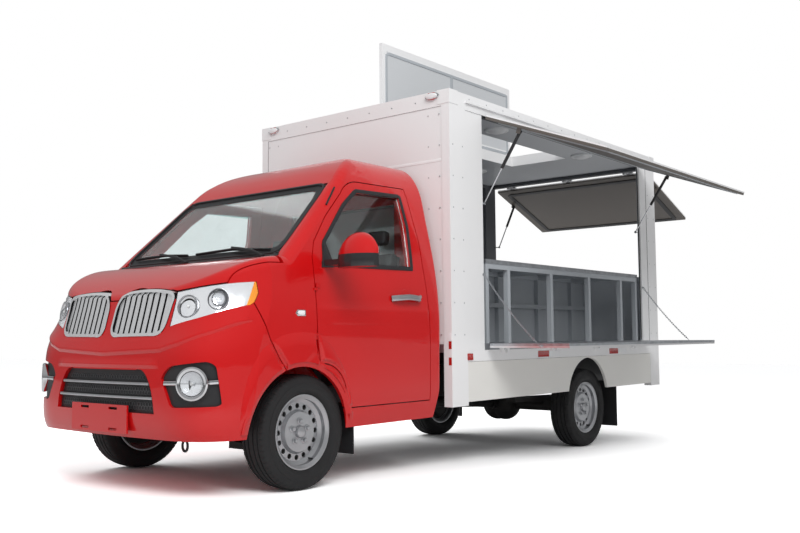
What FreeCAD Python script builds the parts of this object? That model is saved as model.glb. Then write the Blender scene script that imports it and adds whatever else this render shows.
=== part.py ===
import FreeCAD, Part
import math
import os

os.makedirs("parts", exist_ok=True)
V = FreeCAD.Vector

# Small forward-cab truck with a vending body, built level in millimetres.
# X is to the left of the vehicle, Y runs rearward from the front axle and Z is up from the road.
# The sprung pieces are turned nose down by RAKE about the road under the front axle at the end.

# Wheels and stance
WHEELBASE = 3050.0
TRACK_FRONT = 1386.0
TRACK_REAR = 1408.0
TYRE_R = 300.0
TYRE_HALF = 88.0
BEAD_R = 180.0
LIP_R = 196.0
LIP_X = 71.0
HUB_Z = 300.0
RAKE = 1.3
KINGPIN_X = TRACK_FRONT / 2 - 105.0
VENT_COUNT = 16
VENT_R = 14.0

# Half width of the vending body, which the cab's width follows
BOX_HALF = 870.0

# Chassis
RAIL_X = 380.0
RAIL_W = 60.0
RAIL_Z0 = 385.0
RAIL_Z1 = 500.0
RAIL_Y0 = -420.0
RAIL_Y1 = 4150.0

# Cab
CAB_HALF = BOX_HALF - 55.0
CAB_FRONT = -700.0
CAB_REAR = 1140.0
CAB_BOTTOM = 300.0
CAB_ROOF = 1908.0
CAB_WALL = 46.0
EDGE_R = 60.0
REAR_EDGE_R = 24.0
SEAM = 6.0
FLOOR_Z = 655.0
SILL_TOP = 402.0
ARCH_R = 352.0
ARCH_Y = -50.0
ARCH_Z = 292.0
SCREEN_FOOT_Y = -130.0
SCREEN_FOOT_Z = 1216.0
SCREEN_TOP_Y = 373.0
SCREEN_TOP_Z = 1700.0
DOOR_HINGE_X = CAB_HALF - 3.0
DOOR_HINGE_Y = 60.0
DOOR_HINGE_ZS = (800.0, 1060.0)
BONNET_HINGE_Y = -162.0
BONNET_HINGE_Z = 1200.0
BONNET_HINGE_X = 520.0
PANEL_LIP_X = CAB_HALF - 25.0
SILL_X = CAB_HALF - 63.0
BULKHEAD_Y = -150.0
CAB_MOUNT_YS = (440.0, 1010.0)
FLAP_Y = 366.0

# Vending body
BOX_Y0 = 1180.0
BOX_Y1 = 4225.0
POST_BOTTOM = 355.0
POST_Y = 172.0
POST_X = 62.0
SKIRT_Z0 = 378.0
SKIRT_Z1 = 628.0
FLOOR_Z0 = 690.0
FLOOR_Z1 = 742.0
WALL = 26.0
CEILING_Z = 2280.0
ROOF_Z = 2318.0
RAIL_TOP_Z = 2350.0
CASTING_Z = 2262.0
OPEN_Y0 = 1545.0
OPEN_Y1 = 3930.0
OPEN_Z0 = 700.0
OPEN_Z1 = 2245.0
REAR_OPEN_X = 800.0
REAR_OPEN_Z0 = 1300.0
REAR_ARCH_Y = WHEELBASE - 113.0
REAR_ARCH_Z = 305.0
REAR_ARCH_R = 314.0

# Flaps and lid
LEAF = 28.0
HINGE_OUT = 18.0
HINGE_R = 8.0
HINGE_PIN_R = 4.0
RUN = 0.3
AWNING_L = 935.0
AWNING_DROOP = 20.8
FLAP_L = 592.0
STRUT_ARM = 280.0
STRUT_DROP = 50.0
STRUT_FOOT_DROP = 585.0
STRUT_FOOT_IN = 26.0
STRUT_TUBE_L = 262.0
STRUT_TUBE_R = 11.0
STRUT_ROD_R = 5.0
CHAIN_R = 5.0
CHAIN_Z = 1190.0
CHAIN_PIN_X = 1285.0
CHAIN_PIN_R = 4.0
CHAIN_OUT = 6.0
HATCH_X0 = -80.0
HATCH_X1 = 460.0
HATCH_Y0 = 1720.0
HATCH_Y1 = 3400.0
HATCH_UP = 48.0

# Cabinet under the serving opening
TOP_Z0 = 1272.0
TOP_Z1 = 1300.0
CABINET_X0 = 340.0
CABINET_X1 = 830.0
CABINET_Y0 = 1620.0
CABINET_Y1 = 3905.0
STUD = 34.0
STUD_YS = (1885.0, 2460.0, 3040.0, 3590.0)
MID_RAIL_Z = 1005.0


def box(x0, x1, y0, y1, z0, z1):
    return Part.makeBox(x1 - x0, y1 - y0, z1 - z0, V(x0, y0, z0))


def rod(r, a, b):
    """Round bar of radius r from point a to point b."""
    d = V(*b).sub(V(*a))
    return Part.makeCylinder(r, d.Length, V(*a), d)


def mirrored(shape):
    return shape.mirror(V(0, 0, 0), V(1, 0, 0))


def both(*shapes):
    """The given solids and their mirror images on the other side."""
    return list(shapes) + [mirrored(s) for s in shapes]


def group(shapes):
    return Part.makeCompound(shapes)


def fuse(shapes):
    out = shapes[0].multiFuse(shapes[1:])
    return out.removeSplitter()


def outline(points, put):
    """Closed wire. A point of two numbers is joined by a line, one of four by an arc
    through the first two to the last two. put turns two numbers into a point in space."""
    edges = []
    here = points[0]
    for p in list(points[1:]) + [points[0]]:
        end = p[-2:]
        if math.dist(here[-2:], end) < 0.01:
            continue
        a = put(*here[-2:])
        if len(p) == 4:
            edges.append(Part.Arc(a, put(*p[:2]), put(*end)).toShape())
        else:
            edges.append(Part.makeLine(a, put(*end)))
        here = p
    return Part.Wire(edges)


def plate(points, put, push, inset=0.0):
    face = Part.Face(outline(points, put))
    if inset:
        face = face.makeOffset2D(-inset)
    return face.extrude(push)


def prism_x(points, x0, x1, inset=0.0):
    """Side outline of (y, z) points, run from x0 to x1."""
    return plate(points, lambda y, z: V(x0, y, z), V(x1 - x0, 0, 0), inset)


def prism_y(points, y0, y1, inset=0.0):
    """Front outline of (x, z) points, run from y0 to y1."""
    return plate(points, lambda x, z: V(x, y0, z), V(0, y1 - y0, 0), inset)


def prism_z(points, z0, z1, inset=0.0):
    """Plan outline of (x, y) points, run from z0 to z1."""
    return plate(points, lambda x, y: V(x, y, z0), V(0, 0, z1 - z0), inset)


def ring_x(points):
    """Body of revolution about X from (x, radius) points."""
    face = Part.Face(outline(points, lambda x, r: V(x, 0, r)))
    return face.revolve(V(0, 0, 0), V(1, 0, 0), 360)


def about_y(shape, x, z, deg):
    return shape.rotated(V(x, 0, z), V(0, 1, 0), deg)


def about_x(shape, y, z, deg):
    return shape.rotated(V(0, y, z), V(1, 0, 0), deg)


# Cab form. Three outlines bound it: one from the side, one from the front, and plan outlines
# at rising heights for the nose. Corners of a run are joined by one smooth curve, or by a
# line where there are two.

SIDE = (
    (1080.0, CAB_BOTTOM), (-780.0, CAB_BOTTOM), (-780.0, 900.0), (-700.0, 948.0), (-590.0, 1040.0),
    (-420.0, 1146.0), (SCREEN_FOOT_Y, SCREEN_FOOT_Z), (SCREEN_TOP_Y, SCREEN_TOP_Z),
    (530.0, CAB_ROOF - 84.0), (735.0, CAB_ROOF - 8.0), (940.0, CAB_ROOF + 4.0),
    (CAB_REAR, CAB_ROOF - 48.0), (CAB_REAR, 520.0))
SIDE_RUNS = ((0, 1), (1, 2), (2, 6), (6, 7), (7, 11), (11, 12), (12, 13))

# The left half of the front outline, from the sill up over the side's crease to the roof
FRONT_HALF = (
    (CAB_HALF - 23.0, CAB_BOTTOM), (CAB_HALF - 4.0, 460.0), (CAB_HALF + 1.0, 700.0), (CAB_HALF + 4.0, 900.0),
    (CAB_HALF - 8.0, 1060.0), (CAB_HALF - 37.0, 1250.0), (CAB_HALF - 107.0, 1560.0),
    (CAB_HALF - 155.0, 1725.0), (CAB_HALF - 255.0, 1845.0), (CAB_HALF - 395.0, CAB_ROOF - 20.0))
FRONT = FRONT_HALF + ((0.0, CAB_ROOF + 12.0),) + tuple((-x, z) for x, z in reversed(FRONT_HALF))
FRONT_RUNS = ((0, 20), (20, 21))

# Nose: height, then how far back of CAB_FRONT the plan outline lies at the middle, at the
# lamp's inner end and at the corner, with the corner's half width, then the wing's start
NOSE = (
    (250.0, 50.0, 68.0, 130.0, 684.0, 790.0, -400.0),
    (380.0, 0.0, 16.0, 80.0, 704.0, 808.0, -400.0),
    (560.0, -2.0, 16.0, 83.0, 703.0, 810.0, -390.0),
    (740.0, 12.0, 30.0, 92.0, 699.0, 811.0, -375.0),
    (880.0, 45.0, 66.0, 134.0, 672.0, 809.0, -340.0),
    (1000.0, 75.0, 100.0, 170.0, 650.0, 804.0, -300.0),
    (1300.0, 150.0, 170.0, 230.0, 625.0, 790.0, -240.0))


def shrunk(points, d):
    """The closed outline with each corner moved in by d from both of its sides."""
    if not d:
        return list(points)
    n = len(points)
    area = sum(points[i - 1][0] * points[i][1] - points[i][0] * points[i - 1][1] for i in range(n))
    way = 1.0 if area > 0 else -1.0
    out = []
    for i in range(n):
        a, b, c = points[i - 1], points[i], points[(i + 1) % n]
        m = math.dist(a, b)
        k = math.dist(b, c)
        n1 = (way * (a[1] - b[1]) / m, way * (b[0] - a[0]) / m)
        n2 = (way * (b[1] - c[1]) / k, way * (c[0] - b[0]) / k)
        s = d / (1.0 + n1[0] * n2[0] + n1[1] * n2[1])
        out.append((b[0] + (n1[0] + n2[0]) * s, b[1] + (n1[1] + n2[1]) * s))
    return out


def smooth_wire(points, runs, put):
    edges = []
    for a, b in runs:
        run = [put(*points[i % len(points)]) for i in range(a, b + 1)]
        if len(run) == 2:
            edges.append(Part.makeLine(run[0], run[1]))
        else:
            curve = Part.BSplineCurve()
            curve.interpolate(run)
            edges.append(curve.toShape())
    return Part.Wire(edges)


def nose_wire(level, inset):
    z, middle, inner, corner, corner_x, wing_x, wing_y = level
    half = ((450.0, CAB_FRONT + inner), (corner_x, CAB_FRONT + corner), (wing_x, wing_y),
            (wing_x + 16.0, 50.0), (wing_x + 18.0, 600.0), (wing_x + 18.0, 1300.0))
    run = tuple((-x, y) for x, y in reversed(half)) + ((0.0, CAB_FRONT + middle),) + half
    run = shrunk(run, inset)
    return smooth_wire(run, ((0, len(run) - 1), (len(run) - 1, len(run))), lambda x, y: V(x, y, z))


def cab_form(inset=0.0):
    side = Part.Face(smooth_wire(shrunk(SIDE, inset), SIDE_RUNS, lambda y, z: V(-900.0, y, z)))
    front = Part.Face(smooth_wire(shrunk(FRONT, inset), FRONT_RUNS, lambda x, z: V(x, -1000.0, z)))
    wires = [nose_wire(level, inset) for level in NOSE]
    plan = Part.makeLoft(wires, True).fuse(Part.Face(wires[-1]).extrude(V(0, 0, 800.0)))
    form = side.extrude(V(1800.0, 0, 0)).common(front.extrude(V(0, 2400.0, 0))).common(plan)
    return form.removeSplitter().Solids[0]


FORMS = {}


def form(inset):
    """The cab form set in from its sharp-edged outline, made once for each depth."""
    if inset not in FORMS:
        FORMS[inset] = cab_form(inset)
    return FORMS[inset]


def between(outer, inner, piece):
    """The part of the piece that lies between two depths of the cab form."""
    return form(outer).common(piece).cut(form(inner))


def largest(shape):
    return sorted(shape.Solids, key=lambda q: -q.Volume)[0]


def rounded_cab():
    """The outer form with its bonnet, shoulder, pillar, roof and rear edges rounded."""
    s = form(0.0)
    spots = [V(0.0, CAB_FRONT + 78.0, 1013.0)]
    for side in (-1.0, 1.0):
        spots.append(V(side * (CAB_HALF - 28.0), -196.0, SCREEN_FOOT_Z - 4.0))
        spots.append(V(side * (CAB_HALF - 83.0), 122.0, 1458.0))
        spots.append(V(side * 296.0, 765.0, CAB_ROOF - 1.0))
    edges = [min(s.Edges, key=lambda e: e.distToShape(Part.Vertex(p))[0]) for p in spots]
    s = s.makeFillet(EDGE_R, edges)
    back = []
    for e in s.Edges:
        if e.BoundBox.ZMax > 1500.0 and all(abs(v.Y - CAB_REAR) < 30.0 for v in e.Vertexes):
            back.append(e)
    return s.makeFillet(REAR_EDGE_R, back)


DOOR = (
    (88.0, 655.0), (64.0, 790.0), (56.0, 1000.0, 57.0, 1221.0), (84.0, 1304.0),
    (206.0, 1453.0), (365.0, 1603.0), (430.0, 1662.0, 520.0, 1690.0), (960.0, 1700.0),
    (1005.0, 1376.0), (1000.0, 1239.0), (1014.0, 1000.0, 1029.0, 764.0), (1032.0, 410.0),
    (284.0, 410.0), (268.0, 560.0, 88.0, 655.0))

DOOR_GLASS = (
    (150.0, 1195.0), (168.0, 1306.0), (382.0, 1530.0), (500.0, 1622.0), (888.0, 1640.0),
    (905.0, 1461.0), (880.0, 1205.0))

# Front outlines of the lamp, the grille half, the low intake and the fog lamp panel, each
# with its runs: a run over two points is a line, over more a smooth curve
HEADLAMP = ((488.0, 850.0), (550.0, 868.0), (666.0, 901.0), (740.0, 935.0), (860.0, 985.0),
            (860.0, 1084.0), (732.0, 1064.0), (623.0, 1045.0), (483.0, 1023.0))
HEADLAMP_RUNS = ((0, 4), (4, 5), (5, 8), (8, 9))
HEADLAMP_SIDE = ((-900.0, 800.0), (-500.0, 800.0), (-420.0, 920.0), (-350.0, 972.0), (-328.0, 1015.0),
                 (-334.0, 1100.0), (-900.0, 1100.0))
GRILLE = ((105.0, 803.0), (379.0, 806.0), (444.0, 825.0), (466.0, 874.0), (473.0, 964.0), (470.0, 1012.0),
          (440.0, 1031.0), (205.0, 1045.0), (100.0, 1038.0), (56.0, 1006.0), (28.0, 944.0), (26.0, 850.0),
          (48.0, 812.0))
GRILLE_RUNS = ((0, 1), (1, 3), (3, 4), (4, 6), (6, 8), (8, 10), (10, 11), (11, 13))
INTAKE = ((-440.0, 425.0), (440.0, 425.0), (424.0, 504.0), (385.0, 590.0), (350.0, 628.0), (281.0, 638.0),
          (-281.0, 638.0), (-350.0, 628.0), (-385.0, 590.0), (-424.0, 504.0))
INTAKE_RUNS = ((0, 1), (1, 5), (5, 6), (6, 10))
INTAKE_BARS = (500.0, 570.0)
FOG = ((580.0, 461.0), (752.0, 467.0), (763.0, 474.0), (766.0, 486.0), (753.0, 641.0), (738.0, 673.0),
       (718.0, 680.0), (555.0, 661.0), (516.0, 641.0), (483.0, 597.0), (547.0, 475.0), (560.0, 465.0))
FOG_RUNS = ((0, 1), (1, 3), (3, 4), (4, 6), (6, 7), (7, 9), (9, 10), (10, 12))
FOG_LENS = (620.0, -640.0, 566.0)
FOG_LENS_R = 46.0

# The bonnet lies above this line of the front view: it dips between the grilles, follows
# the tops of grille and lamp and climbs over the wing
BONNET_HALF = ((34.0, 994.0), (54.0, 1017.0), (97.0, 1045.0), (205.0, 1052.0), (442.0, 1038.0), (482.0, 1031.0),
               (623.0, 1052.0), (706.0, 1067.0), (712.0, 1092.0), (725.0, 1124.0), (780.0, 1174.0),
               (850.0, 1225.0), (850.0, 1320.0))
BONNET = BONNET_HALF + tuple((-x, z) for x, z in reversed(BONNET_HALF))
BONNET_RUNS = ((0, 4), (4, 5), (5, 7), (7, 11), (11, 12), (12, 13), (13, 14), (14, 18), (18, 20), (20, 21),
               (21, 25), (25, 26))

# The seam between fascia and wing, in side view, ends on the wheel arch
FASCIA = ((-900.0, 200.0), (-900.0, 988.0), (-372.0, 988.0), (-358.0, 960.0), (-333.0, 906.0), (-275.0, 782.0),
          (-207.0, 681.0), (-157.0, 619.0), (-157.0, 200.0))


def smooth_prism(points, runs, y0, y1, inset=0.0):
    """Front outline with smooth runs, carried from y0 to y1."""
    wire = smooth_wire(shrunk(points, inset), runs, lambda x, z: V(x, y0, z))
    return Part.Face(wire).extrude(V(0, y1 - y0, 0))


def lamp_prism(inset=0.0):
    front = smooth_prism(HEADLAMP, HEADLAMP_RUNS, -900.0, -200.0, inset)
    return front.common(prism_x(shrunk(HEADLAMP_SIDE, inset), 300.0, 900.0))


POCKET = ((-392.0, -100.0), (-392.0, 330.0), (-300.0, 570.0, 0.0, 640.0), (300.0, 565.0, FLAP_Y + 6.0, 330.0),
          (FLAP_Y + 6.0, -100.0))


def wheel_gap():
    """Space for the front wheels at full lock, behind a thin lip at the arch's edge."""
    edge = rod(ARCH_R, (470.0, ARCH_Y, ARCH_Z), (900.0, ARCH_Y, ARCH_Z))
    return both(edge, prism_x(POCKET, 430.0, PANEL_LIP_X))


def fascia_zone(grow=0.0):
    """Everything ahead of the seam that runs from the headlamp to the wheel arch."""
    return prism_x(shrunk(FASCIA, -grow), -900.0, 900.0)


def bonnet_zone(grow=0.0):
    return smooth_prism(BONNET, BONNET_RUNS, -900.0, BONNET_HINGE_Y - 3.0 + grow, -grow)


OUTER = rounded_cab()
SHELL = OUTER.cut(form(CAB_WALL))


def door_prism(side, grow=0.0):
    s = prism_x(DOOR, 560.0, 900.0, -grow)
    return s if side > 0 else mirrored(s)


def screen_prism(grow=0.0):
    """Windscreen opening, cut square to the glass."""
    return prism_y(((-700.0 - grow, 1232.0 - grow), (700.0 + grow, 1232.0 - grow),
                    (622.0 + grow, 1672.0 + grow), (-622.0 - grow, 1672.0 + grow)), -300.0, 480.0)


def cab_body():
    s = SHELL
    s = s.cut(door_prism(1, SEAM)).cut(door_prism(-1, SEAM))
    s = s.cut(fascia_zone(SEAM)).cut(bonnet_zone(SEAM))
    s = s.cut(box(-706.0, 706.0, -900.0, BONNET_HINGE_Y - 40.0, 800.0, 1130.0))
    s = s.cut(screen_prism())
    s = s.cut(box(-480.0, 480.0, 1000.0, 1300.0, 1240.0, 1640.0))
    for c in both(lamp_prism()) + wheel_gap():
        s = s.cut(c)
    s = largest(s)
    y = BULKHEAD_Y
    floor = box(-CAB_HALF + 55.0, CAB_HALF - 55.0, y, CAB_REAR - 30.0, FLOOR_Z, FLOOR_Z + 30.0).common(form(6.0))
    floor = floor.cut(door_prism(1, SEAM)).cut(door_prism(-1, SEAM))
    bulkhead = box(-CAB_HALF + 40.0, CAB_HALF - 40.0, y, y + 30.0, FLOOR_Z, SCREEN_FOOT_Z - 40.0).common(form(6.0))
    housing = both(prism_x(POCKET, 416.0, PANEL_LIP_X - 12.0, -14.0))
    arch = housing[0].fuse(housing[1])
    for c in wheel_gap():
        arch = arch.cut(c)
    arch = arch.cut(box(-900.0, 900.0, -900.0, 900.0, -200.0, SILL_TOP)).cut(fascia_zone(SEAM))
    arch = arch.common(form(6.0))
    arch = arch.cut(door_prism(1, SEAM)).cut(door_prism(-1, SEAM))
    s = s.cut(box(-SILL_X, SILL_X, -400.0, 1300.0, 250.0, FLOOR_Z))
    s = s.fuse([floor, bulkhead, arch])
    for cut in both(rod(HINGE_R + 1.5, (DOOR_HINGE_X, DOOR_HINGE_Y, 700.0), (DOOR_HINGE_X, DOOR_HINGE_Y, 1084.0))):
        s = s.cut(cut)
    for x in (-BONNET_HINGE_X, BONNET_HINGE_X):
        s = s.cut(rod(7.0, (x - 6.0, BONNET_HINGE_Y, BONNET_HINGE_Z), (x + 20.0, BONNET_HINGE_Y, BONNET_HINGE_Z)))
    knuckles = []
    for z in DOOR_HINGE_ZS:
        knuckles += both(*door_hinge_fixed(z))
    for x in (-BONNET_HINGE_X, BONNET_HINGE_X):
        knuckles += bonnet_hinge_fixed(x)
    return largest(s.fuse(knuckles))


def door_hinge_fixed(z):
    """Pin with a short arm into the wing, carrying one door hinge."""
    x = DOOR_HINGE_X
    y = DOOR_HINGE_Y
    return [rod(HINGE_PIN_R - 1.0, (x, y, z - 20.0), (x, y, z + 20.0)),
            rod(5.0, (x, y, z - 20.0), (x, y, z - 6.0)),
            box(x - 6.0, x + 3.0, y - 20.0, y, z - 20.0, z - 6.0)]


def bonnet_hinge_fixed(x):
    y = BONNET_HINGE_Y
    z = BONNET_HINGE_Z
    return [rod(3.0, (x - 20.0, y, z), (x + 20.0, y, z)), rod(5.5, (x - 20.0, y, z), (x - 5.0, y, z)),
            box(x - 20.0, x - 5.0, y, y + 16.0, z - 5.5, z + 3.0)]


def front_bumper():
    """The fascia from one wheel arch round to the other, with the horns that carry it."""
    s = SHELL.common(fascia_zone())
    cuts = both(lamp_prism(), smooth_prism(GRILLE, GRILLE_RUNS, -900.0, -200.0), smooth_prism(FOG, FOG_RUNS, -900.0, -200.0))
    cuts.append(smooth_prism(INTAKE, INTAKE_RUNS, -900.0, -500.0))
    cuts.append(bonnet_zone(SEAM))
    for c in cuts + wheel_gap():
        s = s.cut(c)
    horn = box(RAIL_X - 26.0, RAIL_X + 26.0, -800.0, RAIL_Y0, RAIL_Z0 + 10.0, RAIL_Z0 + 34.0).common(form(22.0))
    return largest(s).fuse(both(horn))


def headlamps():
    """A clear cover ahead of a housing with two round reflector bowls and the indicator's pocket."""
    seat = lamp_prism(RUN)
    cover = largest(OUTER.common(seat).cut(form(6.0)))
    back = largest(between(6.5, CAB_WALL, seat))
    for x, y, z, r in LAMP_BOWLS:
        back = back.cut(Part.makeSphere(r, V(x, y, z)))
    return group(both(cover, largest(back)))


LAMP_BOWLS = ((570.0, -600.0, 945.0, 52.0), (672.0, -560.0, 985.0, 46.0), (752.0, -440.0, 1012.0, 34.0))


def grilles():
    """Two framed openings with upright slats, and the mesh and bars of the low intake."""
    ring = smooth_prism(GRILLE, GRILLE_RUNS, -900.0, -300.0, RUN)
    ring = ring.cut(smooth_prism(GRILLE, GRILLE_RUNS, -900.0, -300.0, 16.0))
    frame = between(-4.0, 22.0, ring)
    count = 9
    slats = []
    for i in range(count):
        x = 44.0 + (i + 0.5) * 412.0 / count
        slats.append(box(x - 16.0, x + 16.0, -900.0, -300.0, 790.0, 1040.0))
    panel = smooth_prism(GRILLE, GRILLE_RUNS, -900.0, -300.0, 12.0).common(group(slats))
    one = largest(frame.multiFuse(between(6.0, 22.0, panel).Solids))
    low = between(22.0, 34.0, smooth_prism(INTAKE, INTAKE_RUNS, -900.0, -560.0, RUN))
    bars = []
    for z in INTAKE_BARS:
        bar = smooth_prism(INTAKE, INTAKE_RUNS, -900.0, -560.0, RUN).common(box(-450.0, 450.0, -900.0, -560.0, z - 8.0, z + 8.0))
        bars.append(between(6.0, 34.0, bar))
    low = largest(low.multiFuse(bars))
    return group(both(one) + [low])


def fog_lamps():
    """The dark panel outboard of the intake with its round lamp."""
    s = largest(between(14.0, 34.0, smooth_prism(FOG, FOG_RUNS, -900.0, -300.0, RUN)))
    x, y, z = FOG_LENS
    lens = rod(FOG_LENS_R, (x, y, z), (x + 8.0, y + 60.0, z)).cut(form(34.0))
    return group(both(largest(s.fuse(lens))))


def bonnet():
    s = SHELL.common(bonnet_zone())
    for c in both(smooth_prism(GRILLE, GRILLE_RUNS, -900.0, -450.0, -4.0)):
        s = s.cut(c)
    s = largest(s.cut(box(-900.0, 900.0, BONNET_HINGE_Y - 21.0, 0.0, 800.0, 1400.0)))
    y = BONNET_HINGE_Y
    z = BONNET_HINGE_Z
    arms = []
    for x in (-BONNET_HINGE_X, BONNET_HINGE_X):
        arms += [rod(5.5, (x - 4.0, y, z), (x + 18.0, y, z)), box(x - 4.0, x + 18.0, y - 28.0, y, z - 5.5, z + 3.0)]
    s = s.fuse(arms)
    for x in (-BONNET_HINGE_X, BONNET_HINGE_X):
        s = s.cut(rod(3.0 + RUN, (x - 30.0, y, z), (x + 30.0, y, z)))
    return largest(s)


def windscreen():
    front = largest(between(6.0, 14.0, screen_prism(-RUN)))
    rear = box(-480.0 + RUN, 480.0 - RUN, CAB_REAR - 24.0, CAB_REAR - 16.0, 1240.0 + RUN, 1640.0 - RUN)
    return group([front, rear])


def door():
    """The left door with its window frame and its halves of the hinges."""
    s = SHELL.common(door_prism(1)).cut(prism_x(DOOR_GLASS, 300.0, 900.0))
    s = largest(s.cut(wheel_gap()[0]).cut(wheel_gap()[1]))
    x = DOOR_HINGE_X
    y = DOOR_HINGE_Y
    for z in DOOR_HINGE_ZS:
        s = s.cut(rod(HINGE_R - 1.0, (x, y, z - 24.0), (x, y, z + 24.0)))
        s = s.cut(box(x - 8.0, x + 10.0, y - 30.0, y, z - 24.0, z - 4.0))
        s = s.fuse([rod(5.0, (x, y, z - 4.5), (x, y, z + 18.0)), box(x - 6.0, x + 3.0, y, y + 24.0, z - 4.5, z + 18.0)])
        s = s.cut(rod(HINGE_PIN_R - 1.0 + RUN, (x, y, z - 30.0), (x, y, z + 30.0)))
    return largest(s)


def door_glass():
    return largest(between(14.0, 22.0, prism_x(shrunk(DOOR_GLASS, RUN), 300.0, 900.0)))


def mirror():
    """Door mirror: a broad rounded housing on a foot at the door's front corner."""
    x = CAB_HALF + 53.0
    dome = FreeCAD.Matrix()
    dome.scale(136.0, 104.0, 152.0)
    head = Part.makeSphere(1.0).transformGeometry(dome).translated(V(x + 126.0, 206.0, 1196.0))
    head = head.common(box(x, x + 252.0, 104.0, 206.0, 1160.0, 1345.0))
    arm = box(CAB_HALF - 37.0, x + 40.0, 128.0, 182.0, 1176.0, 1206.0).cut(form(-RUN))
    return head.fuse(largest(arm))


def dashboard():
    s = box(-CAB_HALF + 95.0, CAB_HALF - 95.0, BULKHEAD_Y + 30.0, 110.0, 860.0, 1150.0)
    s = s.common(form(CAB_WALL + RUN))
    s = s.cut(door_prism(1, 12.0)).cut(door_prism(-1, 12.0))
    return largest(s.cut(in_wheel_place(Part.makeCylinder(24.0 + RUN, 340.0, V(0, 0, -350.0)))))


def seats():
    out = []
    for x in (-390.0, 390.0):
        base = box(x - 240.0, x + 240.0, 420.0, 900.0, FLOOR_Z + 30.0, 930.0)
        back = about_x(box(x - 235.0, x + 235.0, 860.0, 960.0, 900.0, 1480.0), 900.0, 900.0, -8.0)
        out.append(base.fuse(back))
    return group(out)


def in_wheel_place(s):
    """Turned to the slope of the steering column and set ahead of the driver."""
    return s.rotated(V(0, 0, 0), V(1, 0, 0), -32.0).translated(V(390.0, 220.0, 1130.0))


def steering_wheel():
    rim = Part.makeTorus(185.0, 14.0)
    hub = Part.makeCylinder(45.0, 30.0, V(0, 0, -30.0))
    spokes = [box(-185.0, 185.0, -15.0, 15.0, -22.0, -10.0), box(-15.0, 15.0, -185.0, 0.0, -22.0, -10.0)]
    column = Part.makeCylinder(24.0, 290.0, V(0, 0, -315.0))
    return in_wheel_place(rim.multiFuse([hub, column] + spokes))


# Chassis

def chassis_frame():
    rails = both(box(RAIL_X - RAIL_W / 2, RAIL_X + RAIL_W / 2, RAIL_Y0, RAIL_Y1, RAIL_Z0, RAIL_Z1))
    for y in (-400.0, 300.0, 1140.0, 1900.0, 2600.0, 3400.0, 4090.0):
        rails.append(box(-RAIL_X, RAIL_X, y, y + 55.0, RAIL_Z0 + 15.0, RAIL_Z1 - 15.0))
    for y in (1250.0, 2000.0, 2750.0, 3500.0, 4120.0):
        rails.append(box(-BOX_HALF + POST_X, BOX_HALF - POST_X, y, y + 50.0, 640.0, FLOOR_Z0))
    rails += both(box(RAIL_X - RAIL_W / 2, RAIL_X + RAIL_W / 2, 1230.0, RAIL_Y1, RAIL_Z1, 640.0))
    for y in CAB_MOUNT_YS:
        rails += both(box(RAIL_X - RAIL_W / 2, RAIL_X + RAIL_W / 2, y, y + 60.0, RAIL_Z1, FLOOR_Z))
    return fuse(rails)


def level(y, z):
    """Where a point fixed to the road stands in the level frame of the sprung pieces."""
    a = math.radians(RAKE)
    return y * math.cos(a) + z * math.sin(a), z * math.cos(a) - y * math.sin(a)


GEARBOX_END = (1500.0, 325.0)
AXLE_NOSE = 170.0


def shaft_point(d):
    """The point of the propeller shaft's line that lies d ahead of the rear axle."""
    ay, az = level(WHEELBASE, HUB_Z)
    gy, gz = GEARBOX_END
    n = math.hypot(gy - ay, gz - az)
    return 0.0, ay + (gy - ay) * d / n, az + (gz - az) * d / n


def engine():
    side = RAIL_X - RAIL_W / 2
    end = (0.0,) + GEARBOX_END
    return fuse([box(-210.0, 210.0, 420.0, 1080.0, 290.0, FLOOR_Z - 20.0),
                 box(-side, side, 700.0, 760.0, RAIL_Z0 + 20.0, RAIL_Z1 - 40.0),
                 rod(58.0, (0.0, 1080.0, 335.0), end), rod(30.0, end, shaft_point(AXLE_NOSE))])


def front_suspension():
    k = KINGPIN_X
    beam = box(258.0 - k, k - 258.0, -60.0, 60.0, 300.0, 384.0)
    arms = both(fuse([box(k - 288.0, k - 88.0, -90.0, -40.0, 190.0, 226.0), box(k - 288.0, k - 88.0, 40.0, 90.0, 190.0, 226.0),
                      box(k - 118.0, k - 43.0, -90.0, 90.0, 190.0, 226.0), box(k - 308.0, k - 258.0, -90.0, 90.0, 190.0, 320.0),
                      box(k - 48.0, k + 20.0, -30.0, 30.0, 190.0, 226.0), rod(12.0, (k, 0.0, 220.0), (k, 0.0, 270.0))]))
    struts = both(fuse([rod(26.0, (k - 12.0, 0.0, 402.0), (k - 40.0, 0.0, 637.4)),
                        rod(12.0, (k, 0.0, 362.0), (k, 0.0, 420.0))]))
    return group([fuse([beam] + arms)] + struts)


def rear_axle():
    x = TRACK_REAR / 2
    half = ((x + 34.0, 0.0), (x + 34.0, 58.0), (x + 6.0, 58.0), (x + 6.0, 122.0), (x - 62.0, 122.0),
            (x - 62.0, 42.0), (150.0, 42.0), (110.0, 105.0, 0.0, 125.0))
    left = tuple((-p[0], p[1]) if len(p) == 2 else p for p in reversed(half[:-1]))
    s = ring_x(half[:-1] + ((110.0, 105.0, 0.0, 125.0), (-110.0, 105.0, -150.0, 42.0)) + left[1:])
    s = s.translated(V(0.0, WHEELBASE, HUB_Z))
    pads = both(box(RAIL_X + 45.0, RAIL_X + 105.0, WHEELBASE - 50.0, WHEELBASE + 50.0, HUB_Z, 345.0))
    nose = stance(rod(46.0, shaft_point(60.0), shaft_point(AXLE_NOSE)))
    return fuse([s, nose] + pads)


def leaf_springs():
    one = box(RAIL_X + 45.0, RAIL_X + 105.0, WHEELBASE - 520.0, WHEELBASE + 520.0, 345.0, 385.0)
    hang = [box(RAIL_X + 30.0, RAIL_X + 105.0, y, y + 50.0, 345.0, 480.0)
            for y in (WHEELBASE - 560.0, WHEELBASE + 510.0)]
    return group(both(fuse([one] + hang)))


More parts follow.
